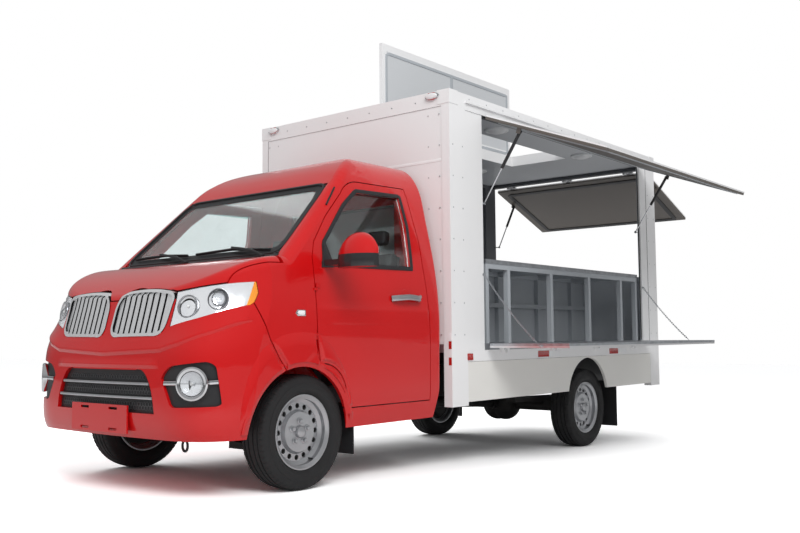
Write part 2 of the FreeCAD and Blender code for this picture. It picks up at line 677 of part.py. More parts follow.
def underbody_units():
    side = RAIL_X + RAIL_W / 2
    tank = box(170.0 - BOX_HALF, -side - 30.0, 1500.0, 2300.0, 380.0, 600.0)
    battery = box(side + 30.0, BOX_HALF - 210.0, 1500.0, 1860.0, 400.0, 600.0)
    straps = [box(-side - 50.0, -side, y, y + 40.0, 420.0, 480.0) for y in (1650.0, 2110.0)]
    tray = box(side, side + 50.0, 1600.0, 1760.0, 420.0, 480.0)
    return group([fuse([tank] + straps), battery.fuse(tray)])


def mud_flaps():
    front = box(PANEL_LIP_X - 150.0, PANEL_LIP_X - 2.0, FLAP_Y, FLAP_Y + 6.0, 150.0, 330.0)
    y = WHEELBASE + 390.0
    rear = box(BOX_HALF - 182.0, BOX_HALF - 24.0, y, y + 6.0, 60.0, 400.0)
    bar = box(RAIL_X + RAIL_W / 2, BOX_HALF - 34.0, y + 6.0, y + 36.0, RAIL_Z0 + 4.0, RAIL_Z0 + 34.0)
    return group(both(front, rear.fuse(bar)))


def plate_holder():
    """Backing plate for a registration plate, with four slots, on two short stays."""
    y = CAB_FRONT - 14.0
    holder = box(-250.0, 250.0, y, y + 10.0, 320.0, 461.0)
    slots = both(box(90.0, 165.0, y - 1.0, y + 11.0, 331.0, 344.0), box(90.0, 165.0, y - 1.0, y + 11.0, 436.0, 449.0))
    stay = both(largest(box(120.0, 160.0, y + 10.0, y + 74.0, 366.0, 416.0).cut(form(-RUN))))
    return fuse([holder.cut(group(slots))] + stay)


# Flaps, struts and lid, each built shut and then turned to how it stands

HINGE_X = BOX_HALF + HINGE_OUT
HINGE_Z = OPEN_Z1 + 4.0
OPEN_TURN = 90.0 - AWNING_DROOP


HINGE_YS = (1760.0, 2410.0, 3070.0, 3720.0)
HINGE_XS = (-620.0, 0.0, 620.0)
FLAP_HINGE_Z = OPEN_Z0 + 14.0
FLAP_TOP = FLAP_HINGE_Z + LEAF
STRUT_LEFT = ((OPEN_Y0 + 30.0, 1.0), (OPEN_Y1 - 30.0, -1.0))
STRUT_REAR = ((-REAR_OPEN_X + 30.0, 1.0), (REAR_OPEN_X - 30.0, -1.0))


def hinge_fixed(x, z, ys, lug):
    """Hinge knuckles with their pin, on the body. lug is (x0, x1, z0, z1) of the arm."""
    out = []
    for y in ys:
        out.append(rod(HINGE_PIN_R, (x, y - 48.0, z), (x, y + 48.0, z)))
        for a in (y - 48.0, y + 20.0):
            out.append(rod(HINGE_R, (x, a, z), (x, a + 28.0, z)))
            out.append(box(lug[0], lug[1], a, a + 28.0, lug[2], lug[3]))
    return out


def hinge_moving(leaf, x, z, ys, lug):
    """The leaf with its middle knuckles, bored to run on the pins."""
    add = []
    bores = []
    for y in ys:
        add.append(rod(HINGE_R, (x, y - 19.0, z), (x, y + 19.0, z)))
        add.append(box(lug[0], lug[1], y - 19.0, y + 19.0, lug[2], lug[3]))
        bores.append(rod(HINGE_PIN_R + RUN, (x, y - 50.0, z), (x, y + 50.0, z)))
    return leaf.fuse(add).cut(group(bores))


def awning(y0, y1, ys, struts):
    """Awning flap, built shut, with its strut pins on the inner face."""
    s = box(HINGE_X - LEAF, HINGE_X, y0, y1, HINGE_Z - AWNING_L, HINGE_Z - 14.0)
    s = hinge_moving(s, HINGE_X, HINGE_Z, ys, (HINGE_X - HINGE_R, HINGE_X, HINGE_Z - 20.0, HINGE_Z))
    x = HINGE_X - STRUT_DROP
    z = HINGE_Z - STRUT_ARM
    add = []
    for y, way in struts:
        add.append(box(x - 14.0, HINGE_X - LEAF, y - 5.0, y + 5.0, z - 14.0, z + 14.0))
        add.append(rod(5.0, (x, y, z), (x, y + way * 26.0, z)))
    return about_y(s.fuse(add), HINGE_X, HINGE_Z, -OPEN_TURN)


def turned_point(x, z, deg):
    a = math.radians(deg)
    dx = x - HINGE_X
    dz = z - HINGE_Z
    return HINGE_X + dx * math.cos(a) + dz * math.sin(a), HINGE_Z - dx * math.sin(a) + dz * math.cos(a)


TOP_PIN = turned_point(HINGE_X - STRUT_DROP, HINGE_Z - STRUT_ARM, -OPEN_TURN)
FOOT_PIN = (BOX_HALF - STRUT_FOOT_IN, HINGE_Z - STRUT_FOOT_DROP)


def strut_line():
    dx = FOOT_PIN[0] - TOP_PIN[0]
    dz = FOOT_PIN[1] - TOP_PIN[1]
    n = math.hypot(dx, dz)
    return dx / n, dz / n, n


def along_strut(d, y):
    ux, uz, n = strut_line()
    return TOP_PIN[0] + ux * d, y, TOP_PIN[1] + uz * d


def strut_tubes(struts):
    out = []
    for y, way in struts:
        yy = y + way * 18.0
        eye = rod(12.0, (TOP_PIN[0], yy - 6.0, TOP_PIN[1]), (TOP_PIN[0], yy + 6.0, TOP_PIN[1]))
        s = rod(STRUT_TUBE_R, along_strut(7.0, yy), along_strut(STRUT_TUBE_L, yy)).fuse(eye)
        s = s.cut(rod(STRUT_ROD_R + RUN, along_strut(24.0, yy), along_strut(STRUT_TUBE_L + 1.0, yy)))
        out.append(s.cut(rod(5.0 + RUN, (TOP_PIN[0], yy - 9.0, TOP_PIN[1]), (TOP_PIN[0], yy + 9.0, TOP_PIN[1]))))
    return group(out)


def strut_rods(struts):
    n = strut_line()[2]
    out = []
    for y, way in struts:
        yy = y + way * 18.0
        foot = (FOOT_PIN[0], yy, FOOT_PIN[1])
        eye = rod(10.0, (foot[0], yy - 5.0, foot[2]), (foot[0], yy + 5.0, foot[2]))
        s = rod(STRUT_ROD_R, along_strut(STRUT_TUBE_L - 14.0, yy), along_strut(n - 6.0, yy)).fuse(eye)
        out.append(s.cut(rod(4.0 + RUN, (foot[0], yy - 9.0, foot[2]), (foot[0], yy + 9.0, foot[2]))))
    return group(out)


def foot_pins(struts, walls):
    out = []
    for (y, way), wall in zip(struts, walls):
        out.append(rod(4.0, (FOOT_PIN[0], wall, FOOT_PIN[1]), (FOOT_PIN[0], y + way * 25.0, FOOT_PIN[1])))
    return out


def to_rear(s):
    """The left flap's layout carried to the rear face: out to the left becomes out to the rear."""
    s = s.translated(V(-BOX_HALF, 0, 0)).rotated(V(0, 0, 0), V(0, 0, 1), 90.0)
    return s.translated(V(0, BOX_Y1, 0))


def flap_left():
    s = box(HINGE_X - LEAF, HINGE_X, OPEN_Y0 + 8.0, OPEN_Y1 - 8.0, FLAP_HINGE_Z + 14.0, FLAP_HINGE_Z + FLAP_L)
    s = hinge_moving(s, HINGE_X, FLAP_HINGE_Z, HINGE_YS,
                     (HINGE_X - HINGE_R, HINGE_X, FLAP_HINGE_Z, FLAP_HINGE_Z + 20.0))
    s = about_y(s, HINGE_X, FLAP_HINGE_Z, 90.0)
    z = FLAP_TOP - LEAF / 2.0
    pins = []
    for y, way in ((OPEN_Y0, 1.0), (OPEN_Y1, -1.0)):
        pins.append(rod(CHAIN_PIN_R, (CHAIN_PIN_X, y + way * 10.0, z), (CHAIN_PIN_X, y - way * (CHAIN_OUT + 6.0), z)))
    return s.fuse(pins)


HATCH_HINGE_X = HATCH_X0 - 37.0
HATCH_HINGE_Z = ROOF_Z + HATCH_UP + 6.0
HATCH_HINGE_YS = (1950.0, 2560.0, 3170.0)


def hatch_lid():
    x = HATCH_HINGE_X
    z = HATCH_HINGE_Z
    s = box(x + 14.0, HATCH_X1 + 34.0, HATCH_Y0 - 34.0, HATCH_Y1 + 34.0, z, z + 26.0)
    s = hinge_moving(s, x, z, HATCH_HINGE_YS, (x, x + 20.0, z, z + HINGE_R))
    return about_y(s, x, z, -90.0)


# Vending body

def roof_corners():
    """The four castings that close the corners of the roof."""
    x = BOX_HALF
    out = []
    for y0, y1 in ((BOX_Y0 - 3.0, BOX_Y0 + 92.0), (BOX_Y1 - 92.0, BOX_Y1 + 3.0)):
        out += both(box(x - 92.0, x + 3.0, y0, y1, CASTING_Z, RAIL_TOP_Z + 3.0))
    return out


def box_frame():
    """Posts, rails and corner pieces, with the hinge knuckles of both awnings and the flap."""
    x = BOX_HALF
    posts = both(box(x - POST_X, x, BOX_Y0, BOX_Y0 + POST_Y, POST_BOTTOM, RAIL_TOP_Z),
                 box(x - POST_X, x, BOX_Y1 - POST_Y, BOX_Y1, POST_BOTTOM, RAIL_TOP_Z))
    rails = both(box(x - POST_X, x, BOX_Y0, BOX_Y1, OPEN_Z1, RAIL_TOP_Z),
                 box(x - POST_X, x, BOX_Y0, BOX_Y1, SKIRT_Z1 + 2.0, OPEN_Z0))
    ends = [box(-x, x, BOX_Y0, BOX_Y0 + 60.0, CEILING_Z - 30.0, RAIL_TOP_Z),
            box(-x, x, BOX_Y1 - 60.0, BOX_Y1, CEILING_Z - 30.0, RAIL_TOP_Z)]
    frame = fuse(posts + rails + ends + roof_corners())
    top = (x, HINGE_X, HINGE_Z - HINGE_R, HINGE_Z + HINGE_R)
    knuckles = hinge_fixed(HINGE_X, HINGE_Z, HINGE_YS, top)
    knuckles += hinge_fixed(HINGE_X, FLAP_HINGE_Z, HINGE_YS, (x, HINGE_X, OPEN_Z0 - 20.0, FLAP_HINGE_Z))
    for k in hinge_fixed(HINGE_X, HINGE_Z, HINGE_XS, top):
        knuckles.append(to_rear(k))
    for k in foot_pins(STRUT_REAR, (-x + POST_X, x - POST_X)):
        knuckles.append(to_rear(k))
    return frame.fuse(knuckles)


def box_floor():
    return box(-BOX_HALF + POST_X, BOX_HALF - POST_X, BOX_Y0 + 2.0, BOX_Y1 - 2.0, FLOOR_Z0, FLOOR_Z1)


def box_walls():
    x = BOX_HALF
    front = box(-x + POST_X, x - POST_X, BOX_Y0 + 4.0, BOX_Y0 + 4.0 + WALL, FLOOR_Z1, CEILING_Z - 30.0)
    right = box(-x + 4.0, -x + 4.0 + WALL, BOX_Y0 + POST_Y, BOX_Y1 - POST_Y, OPEN_Z0, OPEN_Z1)
    jambs = [box(x - 4.0 - WALL, x - 4.0, BOX_Y0 + POST_Y, OPEN_Y0, OPEN_Z0, OPEN_Z1),
             box(x - 4.0 - WALL, x - 4.0, OPEN_Y1, BOX_Y1 - POST_Y, OPEN_Z0, OPEN_Z1)]
    pins = foot_pins(STRUT_LEFT, (OPEN_Y0, OPEN_Y1))
    jambs = [jamb.fuse(pin) for jamb, pin in zip(jambs, pins)]
    rear = box(-x + POST_X, x - POST_X, BOX_Y1 - 4.0 - WALL, BOX_Y1 - 4.0, FLOOR_Z1, REAR_OPEN_Z0)
    return group([front, right, rear] + jambs)


def box_roof():
    s = box(-BOX_HALF + POST_X, BOX_HALF - POST_X, BOX_Y0 + 60.0, BOX_Y1 - 60.0, CEILING_Z, ROOF_Z)
    rim = box(HATCH_X0 - 25.0, HATCH_X1 + 25.0, HATCH_Y0 - 25.0, HATCH_Y1 + 25.0, ROOF_Z, ROOF_Z + HATCH_UP)
    s = s.fuse(rim).cut(box(HATCH_X0, HATCH_X1, HATCH_Y0, HATCH_Y1, 2000.0, 2500.0))
    for c in roof_corners():
        s = s.cut(c)
    x = HATCH_HINGE_X
    z = HATCH_HINGE_Z
    return s.fuse(hinge_fixed(x, z, HATCH_HINGE_YS, (x - HINGE_R, HATCH_X0 - 25.0, ROOF_Z, z)))


def skirts():
    x = BOX_HALF
    arch = rod(REAR_ARCH_R, (600.0, REAR_ARCH_Y, REAR_ARCH_Z), (900.0, REAR_ARCH_Y, REAR_ARCH_Z))
    one = box(x - 22.0, x - 2.0, BOX_Y0 + POST_Y, BOX_Y1 - POST_Y, SKIRT_Z0, SKIRT_Z1).cut(arch)
    tail = box(-x + POST_X, x - POST_X, BOX_Y1 - 40.0, BOX_Y1 - 10.0, 420.0, 640.0)
    return group(both(one) + [tail])


def cabinet():
    out = []
    for y in STUD_YS:
        out.append(box(CABINET_X1 - STUD, CABINET_X1, y, y + STUD, FLOOR_Z1, TOP_Z0))
        out.append(box(CABINET_X0, CABINET_X0 + STUD, y, y + STUD, FLOOR_Z1, TOP_Z0))
        out.append(box(CABINET_X0, CABINET_X1, y, y + STUD, TOP_Z0 - 34.0, TOP_Z0))
    for x in (CABINET_X0, CABINET_X1 - STUD):
        out.append(box(x, x + STUD, CABINET_Y0, CABINET_Y1, TOP_Z0 - 34.0, TOP_Z0))
        out.append(box(x, x + STUD, CABINET_Y0, CABINET_Y0 + STUD, FLOOR_Z1, TOP_Z0))
        out.append(box(x, x + STUD, CABINET_Y1 - STUD, CABINET_Y1, FLOOR_Z1, TOP_Z0))
    out.append(box(CABINET_X0, CABINET_X0 + STUD, CABINET_Y0, CABINET_Y1, MID_RAIL_Z, MID_RAIL_Z + STUD))
    out.append(box(CABINET_X0 - 12.0, CABINET_X0, CABINET_Y0, CABINET_Y1, FLOOR_Z1, TOP_Z0))
    return fuse(out)


def worktop():
    return box(CABINET_X0 - 30.0, CABINET_X1 + 4.0, CABINET_Y0 - 4.0, CABINET_Y1 + 4.0, TOP_Z0, TOP_Z1)


def ceiling_lamps():
    out = []
    for x in (620.0, -430.0):
        for y in (2100.0, 3370.0):
            out.append(rod(85.0, (x, y, CEILING_Z - 34.0), (x, y, CEILING_Z)))
    return group(out)


def body_lamps():
    """Clearance lamps at the roof's front corners and the tail lamps."""
    top = both(box(BOX_HALF - 155.0, BOX_HALF - 105.0, BOX_Y0 - 16.0, BOX_Y0, 2298.0, 2342.0))
    tail = both(box(BOX_HALF - 170.0, BOX_HALF - 80.0, BOX_Y1 - 10.0, BOX_Y1 + 22.0, 440.0, 620.0))
    return group(top + tail)


def chains():
    """Each hangs past the end of the flap, from an eye bolt beside the opening to a hook under the
    flap's pin. The hook is open on the side to which the pin leaves when the flap is folded up."""
    x = BOX_HALF + 6.0
    z = FLAP_TOP - LEAF / 2.0
    bore = CHAIN_PIN_R + RUN
    n = math.hypot(CHAIN_PIN_X - x, CHAIN_Z - z)
    ux = (x - CHAIN_PIN_X) / n
    uz = (CHAIN_Z - z) / n
    side = bore + CHAIN_R
    foot = (CHAIN_PIN_X - uz * side, z + ux * side)
    out = []
    for y in (OPEN_Y0 - CHAIN_OUT, OPEN_Y1 + CHAIN_OUT):
        hook = rod(side + CHAIN_R, (CHAIN_PIN_X, y - CHAIN_R, z), (CHAIN_PIN_X, y + CHAIN_R, z))
        hook = hook.cut(rod(bore, (CHAIN_PIN_X, y - 9.0, z), (CHAIN_PIN_X, y + 9.0, z)))
        open_side = box(CHAIN_PIN_X, CHAIN_PIN_X + 40.0, y - 9.0, y + 9.0, z - 40.0, z + 40.0)
        turn = math.degrees(math.atan2(ux, uz))
        hook = hook.cut(about_y(open_side, CHAIN_PIN_X, z, turn))
        bolt = rod(CHAIN_R, (BOX_HALF - 4.0, y, CHAIN_Z), (x, y, CHAIN_Z))
        out.append(rod(CHAIN_R, (x, y, CHAIN_Z), (foot[0], y, foot[1])).fuse([hook, bolt]))
    return group(out)


# Wheels and knuckles

def tyre_form():
    h = TYRE_HALF
    return ring_x(((40.0, BEAD_R + 0.4), (64.6, BEAD_R + 0.4), (64.6, LIP_R), (h + 4.0, 232.0, h - 4.0, 266.0),
                   (h - 9.0, 288.0, 60.0, TYRE_R - 4.0), (0.0, TYRE_R, -60.0, TYRE_R - 4.0),
                   (9.0 - h, 288.0, 4.0 - h, 266.0), (-h - 4.0, 232.0, -64.6, LIP_R), (-64.6, BEAD_R + 0.4),
                   (-40.0, BEAD_R + 0.4)))


def rim_form():
    barrel = ring_x(((LIP_X, LIP_R - 1.0), (65.0, LIP_R - 1.0), (65.0, BEAD_R), (40.0, BEAD_R), (28.0, 160.0),
                     (-28.0, 160.0), (-40.0, BEAD_R), (-65.0, BEAD_R), (-65.0, LIP_R - 1.0), (-LIP_X, LIP_R - 1.0),
                     (-LIP_X, 188.0), (-60.0, 172.0), (-36.0, 172.0), (-24.0, 152.0), (24.0, 152.0),
                     (36.0, 172.0), (60.0, 172.0), (LIP_X, 188.0)))
    disc = ring_x(((14.0, 0.01), (14.0, 156.0), (23.0, 156.0), (24.0, 116.0), (44.0, 104.0), (44.0, 34.0),
                   (56.0, 30.0), (56.0, 0.01)))
    pocket = ring_x(((0.0, 0.005), (0.0, 110.0), (14.1, 110.0), (34.0, 98.0), (34.0, 0.005)))
    disc = disc.cut(pocket)
    holes = []
    for i in range(VENT_COUNT):
        a = 2.0 * math.pi * i / VENT_COUNT
        y = 134.0 * math.cos(a)
        z = 134.0 * math.sin(a)
        holes.append(rod(VENT_R, (0.0, y, z), (60.0, y, z)))
    disc = disc.cut(group(holes))
    return barrel.fuse(disc)


TYRE = tyre_form()
RIM = rim_form()


def on_wheel(shape, x, y):
    s = shape if x > 0 else mirrored(shape)
    return s.translated(V(x, y, TYRE_R))


def knuckle(side):
    x = TRACK_FRONT / 2
    z = TYRE_R
    parts = [rod(58.0, (x - 88.0, 0.0, z), (x + 34.0, 0.0, z)),
             rod(126.0, (x - 16.0, 0.0, z), (x + 6.0, 0.0, z)),
             rod(28.0, (KINGPIN_X, 0.0, 227.0), (KINGPIN_X, 0.0, 390.0))]
    s = fuse(parts).cut(rod(12.0 + RUN, (KINGPIN_X, 0.0, 200.0), (KINGPIN_X, 0.0, 272.0)))
    s = s.cut(rod(12.0 + RUN, (KINGPIN_X, 0.0, 360.0), (KINGPIN_X, 0.0, 400.0)))
    return s if side > 0 else mirrored(s)


# Assembly: what rides on the springs is turned to its stance, the wheels and axles aren't

def stance(shape):
    return shape.rotated(V(0, 0, 0), V(1, 0, 0), RAKE)


SPRUNG = {
    "chassis_frame": chassis_frame(),
    "engine": engine(),
    "underbody_units": underbody_units(),
    "cab_body": cab_body(),
    "dashboard": dashboard(),
    "seats": seats(),
    "steering_wheel": steering_wheel(),
    "cab_glass": windscreen(),
    "front_bumper": front_bumper(),
    "grilles": grilles(),
    "headlamps": headlamps(),
    "fog_lamps": fog_lamps(),
    "mud_flaps": mud_flaps(),
    "plate_holder": plate_holder(),
    "bonnet": bonnet(),
    "door_left": door(),
    "door_glass_left": door_glass(),
    "mirror_left": mirror(),
    "box_frame": box_frame(),
    "box_floor": box_floor(),
    "box_walls": box_walls(),
    "box_roof": box_roof(),
    "skirts": skirts(),
    "cabinet": cabinet(),
    "worktop": worktop(),
    "ceiling_lamps": ceiling_lamps(),
    "body_lamps": body_lamps(),
    "chains": chains(),
    "awning_left": awning(OPEN_Y0 + 8.0, OPEN_Y1 - 8.0, HINGE_YS, STRUT_LEFT),
    "strut_tubes_left": strut_tubes(STRUT_LEFT),
    "strut_rods_left": strut_rods(STRUT_LEFT),
    "awning_rear": to_rear(awning(8.0 - REAR_OPEN_X, REAR_OPEN_X - 8.0, HINGE_XS, STRUT_REAR)),
    "strut_tubes_rear": to_rear(strut_tubes(STRUT_REAR)),
    "strut_rods_rear": to_rear(strut_rods(STRUT_REAR)),
    "flap_left": flap_left(),
    "hatch_lid": hatch_lid(),
}

for name in ("door", "door_glass", "mirror"):
    SPRUNG[name + "_right"] = mirrored(SPRUNG[name + "_left"])

ROADSIDE = {
    "front_suspension": front_suspension(),
    "rear_axle": rear_axle(),
    "leaf_springs": leaf_springs(),
    "knuckle_left": knuckle(1),
    "knuckle_right": knuckle(-1),
}
for corner, wx, wy in (("front_left", TRACK_FRONT / 2, 0.0), ("front_right", -TRACK_FRONT / 2, 0.0),
                       ("rear_left", TRACK_REAR / 2, WHEELBASE), ("rear_right", -TRACK_REAR / 2, WHEELBASE)):
    ROADSIDE["tyre_" + corner] = on_wheel(TYRE, wx, wy)
    ROADSIDE["rim_" + corner] = on_wheel(RIM, wx, wy)

NODES = {name: stance(shape) for name, shape in SPRUNG.items()}
NODES.update(ROADSIDE)

# The origin lies on the road at the middle of the overall length and width
REACH = group(list(NODES.values())).BoundBox
ORIGIN = V((REACH.XMin + REACH.XMax) / 2, (REACH.YMin + REACH.YMax) / 2, 0.0)

for name, shape in NODES.items():
    shape.translated(V(0, 0, 0).sub(ORIGIN)).exportStep("parts/" + name + ".step")
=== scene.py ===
import math
import bmesh
import bpy
import numpy as np
from mathutils import Matrix, Vector
from mathutils.bvhtree import BVHTree
from mathutils.kdtree import KDTree


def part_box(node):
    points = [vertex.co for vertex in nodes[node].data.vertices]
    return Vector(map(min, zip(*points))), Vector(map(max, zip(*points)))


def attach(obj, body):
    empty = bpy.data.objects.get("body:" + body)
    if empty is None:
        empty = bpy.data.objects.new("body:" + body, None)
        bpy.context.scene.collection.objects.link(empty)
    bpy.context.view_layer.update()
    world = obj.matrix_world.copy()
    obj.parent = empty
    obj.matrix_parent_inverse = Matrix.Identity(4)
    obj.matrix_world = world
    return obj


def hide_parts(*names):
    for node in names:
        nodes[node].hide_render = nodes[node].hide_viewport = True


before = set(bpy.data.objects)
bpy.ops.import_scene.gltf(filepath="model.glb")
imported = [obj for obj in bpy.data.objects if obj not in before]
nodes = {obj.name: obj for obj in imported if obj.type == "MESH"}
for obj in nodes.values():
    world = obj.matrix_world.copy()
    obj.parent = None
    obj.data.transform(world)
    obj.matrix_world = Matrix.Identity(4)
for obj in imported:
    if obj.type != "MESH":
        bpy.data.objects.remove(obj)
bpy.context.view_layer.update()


# Camera. It stands at the truck's front left, a little above bonnet height, where the
# photograph was taken from. Its place is fitted to the road under the front axle, which
# the boxes of the two front tyres give.
def facing(x, y, z, place):
    """Matrix of an object with those axes at that place."""
    m = np.eye(4)
    m[:3] = np.stack([x, y, z, place], 1)
    return Matrix(m.tolist())


tyre_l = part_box("tyre_front_left")
tyre_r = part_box("tyre_front_right")
axle_x = (tyre_l[0].x + tyre_r[1].x) / 2
axle_y = (tyre_l[0].y + tyre_l[1].y) / 2
yaw = math.radians(39.616)
pitch = math.radians(5.34)
roll = math.radians(0.372)
focal_px, photo_px, sensor_mm = 909.13, 800.0, 36.0
ahead = np.array([-math.sin(yaw) * math.cos(pitch), math.cos(yaw) * math.cos(pitch), math.sin(pitch)])
level = np.array([math.cos(yaw), math.sin(yaw), 0.0])
above = np.cross(level, ahead)
camera = bpy.data.objects.new("camera", bpy.data.cameras.new("camera"))
camera.data.sensor_width = sensor_mm
camera.data.lens = focal_px * sensor_mm / photo_px
camera.data.clip_end = 200.0
camera.matrix_world = facing(math.cos(roll) * level + math.sin(roll) * above,
                             math.cos(roll) * above - math.sin(roll) * level,
                             -ahead, (4.213 + axle_x, -3.383 + axle_y, 0.722))
bpy.context.scene.collection.objects.link(camera)
bpy.context.scene.camera = camera


# Light. A pale sky all round with a brighter band overhead, one broad soft lamp high on
# the camera's side and a weaker one behind. What the camera sees of the sky is white.
def node(t, kind, inputs=None, **traits):
    """New shader node: inputs maps a socket's name or number to a value or to the socket
    that feeds it, and traits are set on the node."""
    n = t.nodes.new("ShaderNode" + kind)
    for name, value in traits.items():
        setattr(n, name, value)
    for key, value in (inputs or {}).items():
        if isinstance(value, bpy.types.NodeSocket):
            t.links.new(value, n.inputs[key])
        else:
            n.inputs[key].default_value = value
    return n


def soft_sky(name, strength, glossy_share):
    """World whose level falls from overhead to the horizon, weaker by glossy_share in
    reflections than in the light it gives, and white to the camera."""
    world = bpy.data.worlds.new(name)
    world.use_nodes = True
    t = world.node_tree
    t.nodes.clear()
    way = node(t, "SeparateXYZ", {0: node(t, "TexCoord").outputs["Generated"]})
    height = node(t, "MapRange", {"Value": way.outputs["Z"], "From Min": -1.0, "From Max": 1.0})
    ramp = node(t, "ValToRGB", {0: height.outputs[0]})
    stops = ramp.color_ramp.elements
    stops[0].color = (0.16, 0.16, 0.17, 1)
    stops[1].color = (1.0, 1.0, 1.0, 1)
    for at, shade in ((0.49, 0.20), (0.53, 0.42), (0.60, 0.72), (0.75, 0.95)):
        stops.new(at).color = (shade, shade * 1.005, shade * 1.015, 1)
    path = node(t, "LightPath").outputs
    dim = node(t, "MapRange", {"Value": path["Is Glossy Ray"], "To Min": strength,
                                "To Max": strength * glossy_share})
    lit = node(t, "Background", {"Color": ramp.outputs[0], "Strength": dim.outputs[0]})
    plain = node(t, "Background", {"Color": (1, 1, 1, 1), "Strength": 1.0})
    seen = node(t, "Math", {0: path["Is Camera Ray"], 1: path["Is Transmission Ray"]}, operation="MAXIMUM")
    mix = node(t, "MixShader", {0: seen.outputs[0], 1: lit.outputs[0], 2: plain.outputs[0]})
    node(t, "OutputWorld", {"Surface": mix.outputs[0]})
    return world


def unit(v):
    """Directions at length 1."""
    v = np.asarray(v, float)
    return v / np.maximum(np.linalg.norm(v, axis=-1, keepdims=True), 1e-12)


def soft_lamp(name, place, towards, size, watts):
    """Area lamp of that size at place, turned to towards, unseen in reflections."""
    lamp = bpy.data.lights.new(name, "AREA")
    lamp.shape = "RECTANGLE"
    lamp.size, lamp.size_y = size
    lamp.energy = watts
    o = bpy.data.objects.new(name, lamp)
    back = unit(np.array(place) - towards)
    side = unit(np.cross((0.0, 0.0, 1.0), back))
    o.matrix_world = facing(side, np.cross(back, side), back, place)
    o.visible_glossy = False
    bpy.context.scene.collection.objects.link(o)


bpy.context.scene.world = soft_sky("pale_sky", 0.66, 0.62)
bpy.context.scene.view_settings.view_transform = "Standard"
bpy.context.scene.view_settings.look = "None"
soft_lamp("key_lamp", (6.5, -6.0, 7.0), (0.0, -0.6, 0.9), (6.0, 4.0), 560.0)
soft_lamp("far_lamp", (-7.0, 2.0, 6.0), (0.0, 0.0, 1.0), (5.0, 5.0), 260.0)


# Floor. A plain pale studio floor that is white to the camera and keeps the shadow.
def angles(n):
    """n angles evenly round the circle."""
    return 2.0 * math.pi * np.arange(n) / n


def disc_floor(name, radius, n=96):
    """Flat disc: x = r cos a, y = r sin a, from the middle out."""
    a = angles(n)
    co = np.vstack([np.zeros(3), np.stack([radius * np.cos(a), radius * np.sin(a), 0 * a], 1)])
    mesh = bpy.data.meshes.new(name)
    mesh.from_pydata(co.tolist(), [], [[0, i + 1, (i + 1) % n + 1] for i in range(n)])
    o = bpy.data.objects.new(name, mesh)
    bpy.context.scene.collection.objects.link(o)
    return o


floor = disc_floor("studio_floor", 60.0)
floor_finish = bpy.data.materials.new("studio_floor_finish")
floor_finish.use_nodes = True
tree = floor_finish.node_tree
tree.nodes.clear()
pale = node(tree, "Mix", data_type="RGBA")
pale.inputs[6].default_value = (0.72, 0.72, 0.72, 1)
pale.inputs[7].default_value = (1.6, 1.6, 1.6, 1)
tree.links.new(node(tree, "LightPath").outputs["Is Camera Ray"], pale.inputs["Factor"])
matt = node(tree, "BsdfDiffuse", {"Color": pale.outputs[2]})
node(tree, "OutputMaterial", {"Surface": matt.outputs[0]})
floor.data.materials.append(floor_finish)


# Finishes. Every surface of the truck gets one of these: a colour that wanders a little
# over the piece, gloss that wanders with it and a fine relief, all from noise in the
# piece's own space. Places are given in the level frame of the body: x to the left, y back
# from the front axle and z up from the road, in metres, before the nose-down rake.
rake = math.radians(1.3)
droop = math.radians(20.8)


def tipped(v, way=1.0):
    """Level directions turned nose down by the rake about x, or back up with way -1."""
    v = np.asarray(v, float)
    c, s = math.cos(rake), math.sin(rake) * way
    return np.stack([v[..., 0], v[..., 1] * c - v[..., 2] * s, v[..., 1] * s + v[..., 2] * c], -1)


def stand(p):
    """Level places to the row frame: turned nose down by the rake about the road under
    the front axle, then moved to where the axle is."""
    return tipped(np.atleast_2d(p)) + (axle_x, axle_y, 0.0)


def levelled(p):
    """Places of the row frame as level ones, the reverse of stand."""
    return tipped(np.asarray(p, float) - (axle_x, axle_y, 0.0), -1.0)


def finish(name, colour, rough, metal=0.0, coat=0.0, spread=0.06, scale=6.0, relief=0.02, grain=120.0):
    """Opaque finish: colour times 1 +- spread and roughness times 1 +- 2 spread by a broad
    noise, and a bump of the given relief by a fine one."""
    m = bpy.data.materials.new(name)
    m.use_nodes = True
    t = m.node_tree
    b = t.nodes["Principled BSDF"].inputs
    place = node(t, "TexCoord").outputs["Object"]
    broad = node(t, "TexNoise", {"Vector": place, "Scale": scale, "Detail": 4.0}).outputs["Fac"]
    shade = node(t, "ValToRGB", {0: broad})
    for e, k, at in zip(shade.color_ramp.elements, (1.0 - spread, 1.0 + spread), (0.3, 0.7)):
        e.position = at
        e.color = tuple(min(1.0, v * k) for v in colour) + (1.0,)
    gloss = node(t, "MapRange", {"Value": broad, "To Min": max(0.02, rough * (1.0 - 2.0 * spread)),
                                 "To Max": min(1.0, rough * (1.0 + 2.0 * spread))})
    t.links.new(shade.outputs[0], b["Base Color"])
    t.links.new(gloss.outputs[0], b["Roughness"])
    b["Metallic"].default_value = metal
    b["Coat Weight"].default_value = coat
    if relief:
        fine = node(t, "TexNoise", {"Vector": place, "Scale": grain}).outputs["Fac"]
        bump = node(t, "Bump", {"Height": fine, "Strength": relief, "Distance": 0.001})
        t.links.new(bump.outputs[0], b["Normal"])
    return m


def clear(name, colour):
    """Glass or clear plastic whose tint wanders a little."""
    m = finish(name, colour, 0.02, spread=0.02, relief=0.0)
    b = m.node_tree.nodes["Principled BSDF"].inputs
    b["Transmission Weight"].default_value = 1.0
    b["IOR"].default_value = 1.45
    return m


def level_axes(t):
    """Sockets of the level x, y and z of the point that is shaded."""
    place = node(t, "TexCoord").outputs["Object"]
    home = (-axle_x, -axle_y * math.cos(rake), axle_y * math.sin(rake))
    turned_back = node(t, "Mapping", {"Vector": place, "Rotation": (-rake, 0.0, 0.0), "Location": home})
    return node(t, "SeparateXYZ", {0: turned_back.outputs[0]}).outputs


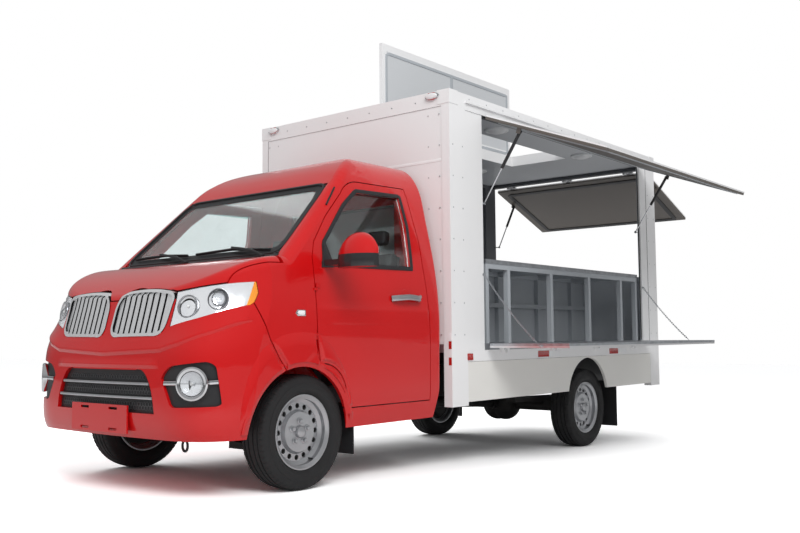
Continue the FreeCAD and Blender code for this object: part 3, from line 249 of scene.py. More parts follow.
def sums(t, kind, a, b=0.0):
    """Result of one piece of arithmetic on sockets or numbers."""
    return node(t, "Math", {0: a, 1: b}, operation=kind).outputs[0]


def over(height):
    """Mask that is 1 above a level height."""
    return lambda t: sums(t, "GREATER_THAN", level_axes(t)["Z"], height)


def under(height):
    """Mask that is 1 below a level height."""
    return lambda t: sums(t, "LESS_THAN", level_axes(t)["Z"], height)


def inside(*box):
    """Mask that is 1 within the box ((x0, x1), (y0, y1), (z0, z1)) of the level frame."""
    def mask(t):
        axes = level_axes(t)
        out = 1.0
        for axis, span in zip("XYZ", box):
            if span:
                out = sums(t, "MULTIPLY", out, sums(t, "GREATER_THAN", axes[axis], span[0]))
                out = sums(t, "MULTIPLY", out, sums(t, "LESS_THAN", axes[axis], span[1]))
        return out
    return mask


def painted_shade_on_slat_sides(t):
    """Painted shade: 1 on the sides of the slats, where the surface looks along the truck's width, which are
    coloured near black for the shade between the slats.
    """
    across = node(t, "SeparateXYZ", {0: node(t, "NewGeometry").outputs["Normal"]}).outputs["X"]
    return sums(t, "GREATER_THAN", sums(t, "ABSOLUTE", across), 0.62)


def parted(m, where, colour, rough=None, metal=None, name=None):
    """The finish, or a copy of that name, with another colour and gloss where the mask
    that where(tree) makes is 1."""
    if name:
        m = m.copy()
        m.name = name
    t = m.node_tree
    b = t.nodes["Principled BSDF"].inputs
    mask = where(t)
    mix = node(t, "Mix", {"Factor": mask}, data_type="RGBA")
    t.links.new(b["Base Color"].links[0].from_socket, mix.inputs[6])
    mix.inputs[7].default_value = colour + (1.0,)
    t.links.new(mix.outputs[2], b["Base Color"])
    if rough is not None:
        grade = node(t, "Mix", {"Factor": mask, 2: b["Roughness"].links[0].from_socket, 3: rough})
        t.links.new(grade.outputs[0], b["Roughness"])
    if metal is not None:
        t.links.new(sums(t, "MULTIPLY", mask, metal), b["Metallic"])
    return m


def skin_of(name):
    """The surface of a CAD node, to lay pieces on."""
    mesh = nodes[name].data
    corners = [tuple(q.co) for q in mesh.vertices]
    return BVHTree.FromPolygons(corners, [list(q.vertices) for q in mesh.polygons])


def two_faced(name, leaf_node, axis, at):
    """The leaf's brownish lining below and white skin above the middle of its thickness,
    which falls along the axis by the awning's droop."""
    skin = skin_of(leaf_node)
    x, y, _ = stand(at)[0]
    high = skin.ray_cast(Vector((x, y, 5.0)), Vector((0.0, 0.0, -1.0)))[0]
    low = skin.ray_cast(Vector((x, y, 0.5)), Vector((0.0, 0.0, 1.0)))[0]
    middle = levelled((np.array(high) + low) / 2)
    fall = math.tan(droop)
    value = middle[2] + fall * middle["XYZ".index(axis)] + 0.004

    def outer(t):
        axes = level_axes(t)
        height = sums(t, "ADD", axes["Z"], sums(t, "MULTIPLY", axes[axis], fall))
        return sums(t, "GREATER_THAN", height, value)
    return parted(leaf, outer, (0.86, 0.86, 0.87), 0.35, name=name)


red = finish("red_paint", (0.58, 0.004, 0.005), 0.30, coat=0.8, spread=0.03, scale=1.5, relief=0.008,
             grain=400.0)
gloss_coat = red.node_tree.nodes["Principled BSDF"].inputs
gloss_coat["Specular IOR Level"].default_value = 0.25
gloss_coat["Coat Roughness"].default_value = 0.03
white = finish("white_panel", (0.88, 0.88, 0.885), 0.38, coat=0.15, spread=0.015, scale=1.2)
cream = finish("cream_panel", (0.82, 0.81, 0.775), 0.42, spread=0.02, scale=1.2)
black = finish("black_paint", (0.018, 0.018, 0.02), 0.45, spread=0.15)
trim = finish("dark_trim", (0.024, 0.024, 0.026), 0.5, spread=0.12, relief=0.06, grain=900.0)
inner = finish("interior_grey", (0.44, 0.47, 0.50), 0.45, spread=0.04, scale=2.0)
zinc = finish("galvanised_steel", (0.50, 0.52, 0.55), 0.38, metal=0.85, spread=0.14, scale=22.0, relief=0.04)
steel = finish("polished_rod", (0.66, 0.67, 0.69), 0.16, metal=1.0, spread=0.05)
leaf = finish("flap_panel", (0.125, 0.110, 0.098), 0.5, spread=0.05, scale=2.5)
chrome = finish("chrome_trim", (0.74, 0.75, 0.77), 0.09, metal=1.0, spread=0.03)
rubber = finish("tyre_rubber", (0.020, 0.020, 0.021), 0.72, spread=0.18, scale=18.0, relief=0.12, grain=700.0)
silver = finish("rim_silver", (0.56, 0.57, 0.59), 0.34, metal=0.9, spread=0.06, scale=14.0, relief=0.03)
cast_iron = finish("cast_iron", (0.045, 0.043, 0.042), 0.62, metal=0.5, spread=0.25, scale=20.0, relief=0.25,
                   grain=260.0)
cloth = finish("seat_cloth", (0.045, 0.046, 0.05), 0.9, spread=0.2, scale=60.0, relief=0.5, grain=1400.0)
tint_foot, slat_foot, flap_face, mirror_foot = 1.622, 0.72, 0.7265, 1.228
glass = parted(clear("clear_glass", (0.86, 0.92, 0.92)), over(tint_foot), (0.50, 0.70, 0.70))
lens = clear("lamp_lens", (0.97, 0.98, 1.0))
red_lens = finish("red_lens", (0.42, 0.012, 0.010), 0.14, coat=1.0, spread=0.1, relief=0.2, grain=300.0)
glow = finish("lamp_diffuser", (0.86, 0.87, 0.88), 0.35, spread=0.03)
room = inside((-0.8525, 0.8525), (1.197, 4.208), (0.70, 2.33))
behind_skin = inside((-0.869, 0.869), (1.1805, 4.2245), (0.70, 2.285))
walls = parted(white, room, (0.50, 0.53, 0.56), 0.5, name="wall_panel")
posts = parted(white, behind_skin, (0.10, 0.105, 0.115), 0.5, name="post_paint")
roof = parted(white, inside(None, None, (2.0, 2.2815)), (0.60, 0.62, 0.65), 0.5, name="roof_panel")
lid = parted(white, inside(None, (1.74, 3.38), (2.42, 2.93)), (0.62, 0.64, 0.66), 0.55, name="lid_panel")
mirror_red = parted(red, under(mirror_foot), (0.022, 0.022, 0.024), 0.5, name="mirror_shell")
grille_coat = parted(trim, over(slat_foot), (0.88, 0.89, 0.90), 0.26, 0.60, name="grille_finish")
# The sides of the grille's slats get a near-black colour: painted shade between the slats.
grille_coat = parted(grille_coat, painted_shade_on_slat_sides, (0.016, 0.016, 0.018), 0.5)
flap_top = parted(zinc, under(flap_face), (0.86, 0.86, 0.87), 0.38, name="counter_flap")
leaf_left = two_faced("awning_left_panel", "awning_left", "X", (1.3, 2.7, 0.0))
leaf_rear = two_faced("awning_rear_panel", "awning_rear", "Y", (0.0, 4.7, 0.0))

wheels = ("front_left", "front_right", "rear_left", "rear_right")
coats = (
    (red, "cab_body bonnet door_left door_right front_bumper plate_holder"),
    (mirror_red, "mirror_left mirror_right"), (glass, "cab_glass door_glass_left door_glass_right"),
    (grille_coat, "grilles"), (lens, "headlamps"), (trim, "fog_lamps dashboard steering_wheel mud_flaps"),
    (cloth, "seats"), (black, "chassis_frame underbody_units strut_tubes_left strut_tubes_rear"),
    (steel, "strut_rods_left strut_rods_rear"),
    (cast_iron, "engine front_suspension rear_axle leaf_springs knuckle_left knuckle_right"),
    (posts, "box_frame"), (walls, "box_walls"), (roof, "box_roof"), (zinc, "box_floor worktop chains"),
    (cream, "skirts"), (inner, "cabinet"), (glow, "ceiling_lamps"), (red_lens, "body_lamps"),
    (lid, "hatch_lid"), (leaf_left, "awning_left"), (leaf_rear, "awning_rear"), (flap_top, "flap_left"),
    (rubber, " ".join("tyre_" + where for where in wheels)),
    (silver, " ".join("rim_" + where for where in wheels)))
for coat, names in coats:
    for name in names.split():
        nodes[name].data.materials.clear()
        nodes[name].data.materials.append(coat)


# Windscreen. Bonded laminated glass behind a black printed border, with a rubber edge
# round it and two wiper arms parked on its foot.
def piece(name, co, faces, coat, body="truck", place=stand, crease=40.0):
    """Mesh object from level places, its faces turned outward, smooth but for edges
    sharper than crease degrees."""
    mesh = bpy.data.meshes.new(name)
    co = place(co) if place else np.asarray(co)
    mesh.from_pydata(co.tolist(), [], [list(map(int, f)) for f in faces])
    mesh.materials.append(coat)
    work = bmesh.new()
    work.from_mesh(mesh)
    bmesh.ops.recalc_face_normals(work, faces=work.faces)
    work.to_mesh(mesh)
    work.free()
    mesh.polygons.foreach_set("use_smooth", [True] * len(mesh.polygons))
    if crease:
        mesh.set_sharp_from_angle(angle=math.radians(crease))
    o = bpy.data.objects.new(name, mesh)
    bpy.context.scene.collection.objects.link(o)
    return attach(o, body)


def joined(*parts):
    """Several (points, faces) as one."""
    co, faces, base = [], [], 0
    for p, f in parts:
        co.append(np.asarray(p, float))
        faces += [[int(i) + base for i in face] for face in f]
        base += len(p)
    return np.vstack(co), faces


def loops(n, k, ring=True):
    """Four-sided faces between n closed rows of k points, the last row joined to the first
    in a ring."""
    i, j = np.meshgrid(np.arange(n if ring else n - 1), np.arange(k), indexing="ij")
    i_next, j_next = (i + 1) % n, (j + 1) % k
    quads = [i * k + j, i * k + j_next, i_next * k + j_next, i_next * k + j]
    return np.stack(quads, -1).reshape(-1, 4).tolist()


def swept(path, profile, lift=(0.0, 0.0, 1.0), ring=False):
    """Closed profile carried along a path: point = path + a side + b lift', where side is
    the tangent crossed with lift and lift' is square to both."""
    path, profile = np.asarray(path, float), np.asarray(profile, float)
    n, k = len(path), len(profile)
    if ring:
        tangent = unit(np.roll(path, -1, 0) - np.roll(path, 1, 0))
    else:
        tangent = unit(np.gradient(path, axis=0))
    side = unit(np.cross(tangent, np.broadcast_to(np.asarray(lift, float), path.shape)))
    square = np.cross(side, tangent)
    co = path[:, None] + profile[:, 0:1] * side[:, None] + profile[:, 1:2] * square[:, None]
    faces = loops(n, k, ring)
    if not ring:
        faces += [list(range(k))[::-1], [(n - 1) * k + j for j in range(k)]]
    return co.reshape(-1, 3), faces


def rounded_strip(w, h, r):
    """Section of a strip w wide and h high with its two upper edges rounded by r."""
    a = np.linspace(0.0, math.pi / 2, 4)
    one = np.stack([w / 2 - r + r * np.cos(a), h - r + r * np.sin(a)], 1)
    return np.vstack([[w / 2, -0.002], one, one[::-1] * (-1, 1), [-w / 2, -0.002]])


def turned(profile, centre, axis, n=40):
    """Profile of (distance along the axis, radius) turned about it; radius 0 is one point."""
    axis = unit(axis)
    u = unit(np.cross(axis, (0.0, 0.0, 1.0) if abs(axis[2]) < 0.9 else (1.0, 0.0, 0.0)))
    v = np.cross(axis, u)
    a = angles(n)
    around = np.cos(a)[:, None] * u + np.sin(a)[:, None] * v
    co, rings, faces = [], [], []
    for d, r in profile:
        rings.append(np.full(n, len(co)) if r < 1e-9 else len(co) + np.arange(n))
        p = np.asarray(centre, float) + d * axis
        co += [p] if r < 1e-9 else list(p + r * around)
    for low, high in zip(rings[:-1], rings[1:]):
        for j in range(n):
            f = [low[j], high[j], high[(j + 1) % n], low[(j + 1) % n]]
            f = [q for i, q in enumerate(f) if q not in f[:i]]
            if len(f) > 2:
                faces.append(f)
    return np.array(co), faces


def laid(skin, points, way):
    """Where rays from level points along the level direction meet the surface, as level
    places and outward normals."""
    d = Vector(tipped(unit(way)))
    out, normals = [], []
    for p in stand(points):
        hit, normal, _, _ = skin.ray_cast(Vector(p), d)
        if hit is not None:
            out.append(hit)
            normals.append(-normal if normal.dot(d) > 0 else normal)
    return levelled(np.array(out).reshape(-1, 3)), tipped(np.array(normals).reshape(-1, 3), -1.0)


before_nose = -1.2


def on_front(skin, x, z):
    """What laid finds straight back from the points (x, z) before the nose."""
    x = np.asarray(x, float)
    return laid(skin, np.stack([x, 0 * x + before_nose, 0 * x + z], 1), (0.0, 1.0, 0.0))


def spread(points, step=0.02, ring=False):
    """The same line with points every step along it."""
    p = np.asarray(points, float)
    if ring:
        p = np.vstack([p, p[:1]])
    d = np.concatenate([[0.0], np.cumsum(np.linalg.norm(np.diff(p, axis=0), axis=1))])
    at = np.linspace(0.0, d[-1], max(3, int(d[-1] / step) + 1))
    out = np.stack([np.interp(at, d, p[:, k]) for k in range(p.shape[1])], 1)
    return out[:-1] if ring else out


def screen_line(inset):
    """x and z of a closed line inset from the opening's edge, its corners rounded."""
    a = np.array([[-0.700 + inset, 1.232 + inset], [0.700 - inset, 1.232 + inset],
                  [0.622 - inset, 1.672 - inset], [-0.622 + inset, 1.672 - inset]])
    t = np.linspace(0.0, 1.0, 6)[:, None]
    out = []
    for i in range(4):
        p, q, r = a[i - 1], a[i], a[(i + 1) % 4]
        b, c = q + unit(p - q) * 0.07, q + unit(r - q) * 0.07
        out.append(b * (1 - t) ** 2 + 2 * q * t * (1 - t) + c * t ** 2)
    return spread(np.vstack(out), 0.03, ring=True).T


screen = skin_of("cab_glass")
line, lift = on_front(screen, *screen_line(0.024))
piece("screen_border", *swept(line, rounded_strip(0.046, 0.0012, 0.0005), lift, ring=True), black)
line, lift = on_front(screen, *screen_line(0.004))
piece("screen_rubber", *swept(line + lift * 0.004, rounded_strip(0.014, 0.006, 0.003), lift, ring=True), trim)

wipers = []
for pivot, foot, tip, elbow in (((-0.05, 1.214), (-0.10, 1.262), (-0.62, 1.268), (-0.33, 1.276)),
                                ((0.60, 1.214), (0.62, 1.250), (-0.02, 1.262), (0.28, 1.274))):
    line, lift = on_front(screen, *spread((foot, elbow, tip), 0.03).T)
    line = line + lift * 0.010
    wipers.append(swept(line, rounded_strip(0.010, 0.012, 0.003), lift))
    middle = line[len(line) // 2]
    start = np.array([pivot[0], -0.134, pivot[1] + 0.006])
    bow = ((0.0, (0, 0, 0)), (0.3, (0, -0.012, 0.018)), (0.7, (0, -0.012, 0.014)), (1.0, (0, -0.006, 0.008)))
    arm = [start * (1 - t) + middle * t + np.array(off) for t, off in bow]
    wipers.append(swept(spread(arm, 0.03), rounded_strip(0.016, 0.012, 0.005)))
    boss = ((-0.02, 0.0), (-0.02, 0.013), (0.010, 0.013), (0.014, 0.009), (0.014, 0.0))
    wipers.append(turned(boss, start, (0, -0.2, 1)))
piece("wipers", *joined(*wipers), black)


# Cowl. Moulded black plastic strips, clipped on between the bonnet's rear edge and the foot
# of the glass.
cab = skin_of("cab_body")
xs = np.linspace(-0.71, 0.71, 40)
cowl = []
for y, shift, section in ((-0.130, (0.0, 0.0, 0.0), (0.044, 0.003, 0.001)),
                          (-0.152, (0.0, -0.012, -0.016), (0.030, 0.014, 0.006))):
    line, lift = laid(cab, np.stack([xs, 0 * xs + y, 0 * xs + 1.6], 1), (0.0, 0.0, -1.0))
    cowl.append(swept(line + shift, rounded_strip(*section), lift))
piece("screen_cowl", *joined(*cowl), trim)


# Doors. Black rubber and painted frame round each drop glass with a belt strip below it, a
# sail plate that the mirror's arm springs from, a pull handle with its lock barrel, and a
# clear arrow-shaped side indicator on the wing before the door.
clear_x = 1.3


def beside(side, y, z):
    """Points well out to that side, from where rays look back at its panels."""
    return np.stack([0 * y + side * clear_x, y, z], -1)


def on_side(skin, side, points, step=0.02, ring=False):
    """The line of (y, z) points where it lies on the outside of that side's panel."""
    return laid(skin, beside(side, *spread(points, step, ring).T), (-side, 0.0, 0.0))


def slab(outline, origin, u, v, depth, edge):
    """Plate of a (u, v) outline that runs counter-clockwise about u x v, of that depth
    along u x v, with its far edge chamfered."""
    p = np.asarray(outline, float)
    u, v = unit(u), unit(v)
    w = np.cross(u, v)
    t1, t2 = unit(p - np.roll(p, 1, 0)), unit(np.roll(p, -1, 0) - p)
    inward = np.stack([-(t1[:, 1] + t2[:, 1]), t1[:, 0] + t2[:, 0]], 1)
    inward /= np.maximum((inward ** 2).sum(1, keepdims=True) / 2, 1e-9)
    k = len(p)
    rows = ((0.0, 0.0), (0.0, depth - edge), (0.4 * edge, depth - 0.3 * edge), (edge, depth))
    levels = [(p + inward * cut, d) for cut, d in rows]
    co = np.vstack([np.asarray(origin, float) + q[:, 0:1] * u + q[:, 1:2] * v + d * w for q, d in levels])
    return co, [list(range(k))[::-1]] + loops(4, k, ring=False) + [[3 * k + j for j in range(k)]]


sides = ((1, "left"), (-1, "right"))
window = np.array([(0.150, 1.195), (0.168, 1.306), (0.382, 1.530), (0.500, 1.622), (0.888, 1.640),
                   (0.905, 1.461), (0.880, 1.205)])
window += unit(window - (0.55, 1.40)) * 0.014
sail = ((0.116, 1.166), (0.210, 1.170), (0.214, 1.330), (0.150, 1.300))
arrow = np.array([(-0.030, 0.0), (-0.018, -0.014), (0.026, -0.014), (0.030, -0.010), (0.030, 0.010),
                  (0.026, 0.014), (-0.018, 0.014)])
for side, name in sides:
    body = "door_" + name
    panel = skin_of(body)

    line, lift = on_side(panel, side, window, ring=True)
    frame_band = swept(line, rounded_strip(0.024, 0.004, 0.0015), lift, ring=True)
    line, lift = on_side(panel, side, ((0.120, 1.186), (0.500, 1.190), (0.895, 1.196)))
    belt_band = swept(line, rounded_strip(0.022, 0.007, 0.003), lift)
    piece("window_frame_" + name, *joined(frame_band, belt_band), trim, body)

    line, lift = on_side(panel, side, sail, 0.012, ring=True)
    middle = line.mean(0)
    n = len(line)
    co = np.vstack([line - lift * 0.002, line + lift * 0.006, line + (middle - line) * 0.12 + lift * 0.011,
                    [middle + lift.mean(0) * 0.013]])
    fan = [[2 * n + i, 2 * n + (i + 1) % n, 3 * n] for i in range(n)]
    piece("mirror_foot_" + name, co, loops(3, n, ring=False) + fan + [list(range(n))[::-1]], trim, body)

    line, lift = on_side(panel, side, ((0.675, 1.012), (0.800, 1.020), (0.925, 1.014)))
    rise = 0.030 * np.sin(np.linspace(0.0, math.pi, len(line))) ** 0.35
    handle = swept(line + lift * rise[:, None], rounded_strip(0.034, 0.015, 0.007), lift)
    spots, ways = laid(panel, beside(side, np.array((0.800, 0.945)), (1.018, 1.030)), (-side, 0.0, 0.0))
    hollow = turned(((-0.001, 0.0), (-0.001, 0.052), (0.0016, 0.050), (0.0016, 0.0)), spots[0], ways[0])
    barrel = ((-0.002, 0.0), (-0.002, 0.011), (0.004, 0.011), (0.005, 0.009), (0.005, 0.0))
    barrel = turned(barrel, spots[1], ways[1], 24)
    piece("door_handle_" + name, *joined(handle, barrel), silver, body)
    piece("handle_recess_" + name, *hollow, red, body)

    (spot,), (w,) = laid(cab, beside(side, np.array([-0.065]), [0.919]), (-side, 0.0, 0.0))
    u = unit(np.cross((0.0, 0.0, 1.0), w))
    v = np.cross(w, u)
    shape = arrow[::side] * (side, 1)
    piece("side_lamp_rim_" + name, *slab(shape * 1.2, spot - w * 0.002, u, v, 0.006, 0.002), chrome)
    piece("side_lamp_" + name, *slab(shape * 0.86, spot + w * 0.003, u, v, 0.007, 0.003), glow)


# Wheel-arch flares. The pressed lip that stands out a little round each front wheel, painted
# with the panels that it runs over.
arch_y, arch_z, arch_r = -0.050, 0.292, 0.374
a = np.radians(np.linspace(12.0, 176.0, 160))
lip = np.array([(0.021, -0.002), (0.021, 0.006), (0.016, 0.0095), (0.004, 0.0085), (-0.012, 0.004),
                (-0.024, 0.0), (-0.024, -0.002)])
for side, name in sides:
    start = beside(side, arch_y + arch_r * np.cos(a), arch_z + arch_r * np.sin(a))
    for panel, body in (("front_bumper", "truck"), ("cab_body", "truck"), ("door_" + name, "door_" + name)):
        line, lift = laid(skin_of(panel), start, (-side, 0.0, 0.0))
        outside = abs(line[:, 0]) > 0.74
        line, lift = line[outside][1:-1], lift[outside][1:-1]
        if len(line) > 3:
            piece("arch_flare_%s_%s" % (name, panel), *swept(line, lip * (side, 1), lift), red, body)


# Low intake. A black moulded honeycomb behind two silver bars, clipped into the deep
# opening of the fascia.
def hexagons(skin, outline, pitch, bars):
    """Closed six-sided rings on a close-packed grid: centres at pitch (i + j/2, j sqrt(3)/2),
    each ring between the radii 0.46 and 0.58 of the pitch and standing 3 mm off the surface."""
    a = np.array(outline)
    b = np.roll(a, -1, 0)
    inward = unit(np.stack([-(b - a)[:, 1], (b - a)[:, 0]], 1))
    j, i = np.meshgrid(np.arange(60), np.arange(-60, 60), indexing="ij")
    c = np.stack([pitch * (i + (j % 2) * 0.5), a[:, 1].min() + pitch * 0.866 * j], -1).reshape(-1, 2)
    keep = ((c[:, None] - a) * inward).sum(-1).min(1) > pitch * 0.5
    for z in bars:
        keep &= abs(c[:, 1] - z) > 0.014
    p, w = on_front(skin, *c[keep].T)
    u = unit(np.cross((0.0, 0.0, 1.0), w))
    v = np.cross(w, u)
    t = np.radians(30.0 + 60.0 * np.arange(6))[:, None]
    around = np.cos(t) * u[:, None] + np.sin(t) * v[:, None]
    rings = [p[:, None] + pitch * r * around + h * w[:, None]
             for r, h in ((0.58, -0.001), (0.58, 0.003), (0.46, 0.003), (0.46, -0.001))]
    faces = np.array(loops(4, 6)) + 24 * np.arange(len(p))[:, None, None]
    return np.stack(rings, 1).reshape(-1, 3), faces.reshape(-1, 4).tolist()


low_grille = skin_of("grilles")
opening = ((-0.424, 0.432), (0.424, 0.432), (0.412, 0.500), (0.372, 0.590), (0.335, 0.624), (-0.335, 0.624),
           (-0.372, 0.590), (-0.412, 0.500))
honeycomb = finish("moulded_mesh", (0.060, 0.060, 0.064), 0.35, spread=0.1)
piece("intake_honeycomb", *hexagons(low_grille, opening, 0.0215, (0.500, 0.570)), honeycomb)
bars = []
for z, half in ((0.500, 0.418), (0.570, 0.388)):
    line, lift = on_front(low_grille, np.linspace(-half, half, 50), z)
    bars.append(swept(line, rounded_strip(0.013, 0.004, 0.002), lift))
piece("intake_bars", *joined(*bars), silver)


# Fog lamps. A chromed plastic ring round a clear lens and its reflector, with a bar to each
# side, set in the black panels of the bumper.
def two(part):
    """A part and its mirror image on the other side."""
    co, faces = part
    return joined(part, (np.asarray(co) * (-1.0, 1.0, 1.0), [list(f)[::-1] for f in faces]))


fog = skin_of("fog_lamps")
spot = on_front(fog, [0.668], 0.576)[0][0] + (0.001, -0.009, 0.0)
outward = unit((0.50, -0.86, 0.02))
ring = ((-0.024, 0.073), (0.008, 0.083), (0.017, 0.081), (0.021, 0.073), (0.017, 0.061), (-0.024, 0.058),
        (-0.024, 0.073))
dish = ((0.004, 0.0), (0.005, 0.020), (0.009, 0.040), (0.0145, 0.0575), (0.010, 0.060), (-0.003, 0.060),
        (-0.003, 0.0))
bulb = ((0.004, 0.0), (0.004, 0.009), (0.016, 0.009), (0.020, 0.006), (0.021, 0.0))
front_lens = ((0.0165, 0.0), (0.0165, 0.057), (0.0185, 0.057), (0.0215, 0.036), (0.0230, 0.0))
struts = []
for x0, x1, z0, z1 in ((0.502, 0.600, 0.576, 0.578), (0.722, 0.744, 0.581, 0.583)):
    line, lift = on_front(fog, np.linspace(x0, x1, 16), np.linspace(z0, z1, 16))
    struts.append(swept(line + lift * 0.004, rounded_strip(0.022, 0.012, 0.005), lift))
piece("fog_ring", *two(joined(turned(ring, spot, outward, 48), *struts)), chrome)
piece("fog_reflector", *two(turned(dish, spot, outward)), chrome)
piece("fog_bulb", *two(turned(bulb, spot, outward, 20)), glow)
piece("fog_lens", *two(turned(front_lens, spot, outward)), lens)


# Towing eye. A forged steel ring on a short shank, screwed in under the fascia's left
# corner.
def circle(r, n=12):
    """Section of a round wire or bar."""
    a = angles(n)
    return np.stack([r * np.cos(a), r * np.sin(a)], 1)


a = angles(32)
path = np.stack([0.585 + 0.020 * np.cos(a), 0 * a - 0.610, 0.276 + 0.026 * np.sin(a)], 1)
eye = swept(path, circle(0.0065, 10), (0.0, 1.0, 0.0), ring=True)
shank = swept([(0.585, -0.610, 0.300), (0.585, -0.600, 0.325)], circle(0.008), (0.0, 1.0, 0.0))
piece("towing_eye", *joined(eye, shank), cast_iron)


# Carriers of the front mud flaps. Black plates, bolted up into the wheel housings, that hold
# the top of each flap.
def slab_box(x0, x1, y0, y1, z0, z1, edge=0.002):
    """Box with a small chamfer round its upper edge."""
    outline = ((0.0, 0.0), (x1 - x0, 0.0), (x1 - x0, y1 - y0), (0.0, y1 - y0))
    return slab(outline, (x0, y0, z0), (1, 0, 0), (0, 1, 0), z1 - z0, edge)


piece("flap_carriers", *two(slab_box(0.660, 0.788, 0.360, 0.3655, 0.318, 0.430)), trim)


# Aerial. A short mast in black plastic, folded down along the left pillar that its foot is
# screwed to.
line, lift = laid(cab, spread(((1.112, 0.234, 1.524), (1.080, 0.332, 1.635)), 0.012), (-1.0, 0.0, 0.0))
piece("aerial", *swept(line + lift * 0.002, rounded_strip(0.010, 0.009, 0.004), lift), black)


# Tyres. Radial road tyres with four grooves round the tread, cut shoulders and ribbed
# sidewalls; each is built about its own wheel and turns with it.
def tyre(centre):
    """Rings of r(x) about the axle, less 4 mm in every sixth row of the shoulders and 3 mm
    in the slits of the middle ribs."""
    half = [(0.0400, 0.1804), (0.0650, 0.1806), (0.0660, 0.1962), (0.0720, 0.1995), (0.0745, 0.2025),
            (0.0790, 0.2050), (0.0870, 0.2160), (0.0915, 0.2300), (0.0918, 0.2320), (0.0922, 0.2330),
            (0.0918, 0.2342), (0.0915, 0.2400), (0.0900, 0.2520), (0.0902, 0.2535), (0.0880, 0.2550),
            (0.0862, 0.2640), (0.0840, 0.2720), (0.0800, 0.2830), (0.0760, 0.2900), (0.0700, 0.2935),
            (0.0600, 0.2962), (0.0515, 0.2975), (0.0505, 0.2905), (0.0435, 0.2908), (0.0425, 0.2983),
            (0.0330, 0.2990), (0.0225, 0.2996), (0.0215, 0.2926), (0.0145, 0.2927), (0.0135, 0.2998)]
    prof = np.array(half + [(0.0, 0.3000)] + [(-x, r) for x, r in reversed(half)])
    n = 360
    a, i = angles(n)[:, None], np.arange(n)[:, None]
    x, r = np.repeat(prof[None, :, 0], n, 0), np.repeat(prof[None, :, 1], n, 0)
    shoulder = (abs(x) > 0.055) & (r > 0.276)
    r = r - 0.004 * (shoulder & ((i + 2 * (x > 0)) % 6 == 0))
    rib = (abs(x) > 0.024) & (abs(x) < 0.041) & (r > 0.296)
    r = r - 0.003 * (rib & (i % 6 == 3))
    wall = (r > 0.207) & (r < 0.228)
    x = x * (1.0 + 0.006 * (wall & (i % 3 == 0)))
    co = np.stack([x, r * np.cos(a), r * np.sin(a)], -1) + np.array(centre)
    return co.reshape(-1, 3), loops(n, len(prof))


def hub_parts(centre, side, disc):
    """Five nuts on their seats and a plain cap, then the valve, out along the axle."""
    def on_disc(profile, n, r=0.0, degrees=0.0):
        """Turned part on the disc's face at that radius and angle."""
        t = math.radians(degrees)
        p = np.array(centre) + (side * 0.3, r * math.cos(t), r * math.sin(t))
        beside_the_bore = (0.0, 0.0, 0.0 if r else 0.004)
        p[0] = disc.ray_cast(Vector(p + beside_the_bore), Vector((-side, 0.0, 0.0)))[0][0]
        return turned(profile, p, (side, 0, 0), n)

    seat = ((-0.001, 0.0), (-0.001, 0.019), (0.003, 0.018), (0.005, 0.0135), (0.005, 0.0))
    nut = ((0.004, 0.0), (0.004, 0.0125), (0.016, 0.0125), (0.019, 0.009), (0.019, 0.0))
    out = [on_disc(profile, n, 0.056, 90.0 + 72.0 * q)
           for q in range(5) for profile, n in ((seat, 24), (nut, 6))]
    cap = ((-0.010, 0.0), (-0.010, 0.031), (0.001, 0.031), (0.006, 0.028), (0.009, 0.020), (0.010, 0.0))
    stem = ((-0.008, 0.0), (-0.008, 0.005), (0.018, 0.0045), (0.020, 0.004), (0.028, 0.004), (0.028, 0.0))
    return joined(*out, on_disc(cap, 36)), on_disc(stem, 12, 0.166, -60.0)


def wheel(where):
    """Middle of that wheel, the side it is on and the surface of its rim."""
    low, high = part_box("tyre_" + where)
    return np.array((low + high) / 2), 1.0 if "left" in where else -1.0, skin_of("rim_" + where)


for where in wheels:
    middle, side, disc = wheel(where)
    t = piece("tread_" + where, *tyre(middle), rubber, "wheel_" + where, place=None, crease=30.0)
    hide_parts("tyre_" + where)
    nuts, stem = hub_parts(middle, side, disc)
    piece("hub_" + where, *nuts, silver, "wheel_" + where, place=None)
    piece("valve_" + where, *stem, black, "wheel_" + where, place=None)


# Markers of the vending body: oval clearance lamps at its front corners, reflective tape
# down those corners and below the sides, and a small red marker on each side.
oval = circle(1.0, 28) * (0.045, 0.020)
lamps = [slab(oval, (x, 1.171, 2.320), (1, 0, 0), (0, 0, 1), 0.014, 0.006) for x in (-0.74, 0.74)]
bases = [slab(oval * 1.25, (x, 1.181, 2.320), (1, 0, 0), (0, 0, 1), 0.012, 0.004) for x in (-0.74, 0.74)]
piece("clearance_lamps", *joined(*lamps), glow)
piece("clearance_bases", *joined(*bases), chrome)
bands = [slab_box(0.846, 0.868, 1.1788, 1.1802, 0.612 + 0.05 * i, 0.660 + 0.05 * i, 0.0004) for i in range(4)]
bands += [slab_box(0.868, 0.8712, y, y + 0.15, 0.640, 0.684, 0.001) for y in (2.20, 2.35, 3.29, 3.44)]
marker = slab_box(0.868, 0.876, 1.345, 1.400, 0.640, 0.682, 0.003)
piece("reflectors_red", *two(joined(*bands[::2], marker)), red_lens)
piece("reflectors_white", *two(joined(*bands[1::2])), glow)


# Fastenings of the body. Silver blind rivets that hold the skin to the posts, the top rails
# and the frame of the front wall.
pitch, out_x, out_y = 0.20, (1, 0, 0), (0, -1, 0)
places = [((0.870, y, z), out_x) for z in np.arange(0.80, 2.20, pitch) for y in (1.215, 1.318, 4.080, 4.190)]
places += [((0.870, y, 2.322), out_x) for y in np.arange(1.40, 4.10, pitch)]
places += [((x, y, z), out_y) for z in np.arange(0.80, 2.26, pitch) for x, y in ((0.79, 1.180), (0.70, 1.184))]
places += [((x, 1.180, 2.300), out_y) for x in np.arange(-0.60, 0.61, pitch)]
head = ((-0.001, 0.0), (-0.001, 0.0048), (0.0012, 0.0045), (0.0026, 0.0025), (0.0030, 0.0))
piece("body_rivets", *two(joined(*[turned(head, at, way, 10) for at, way in places])), silver)


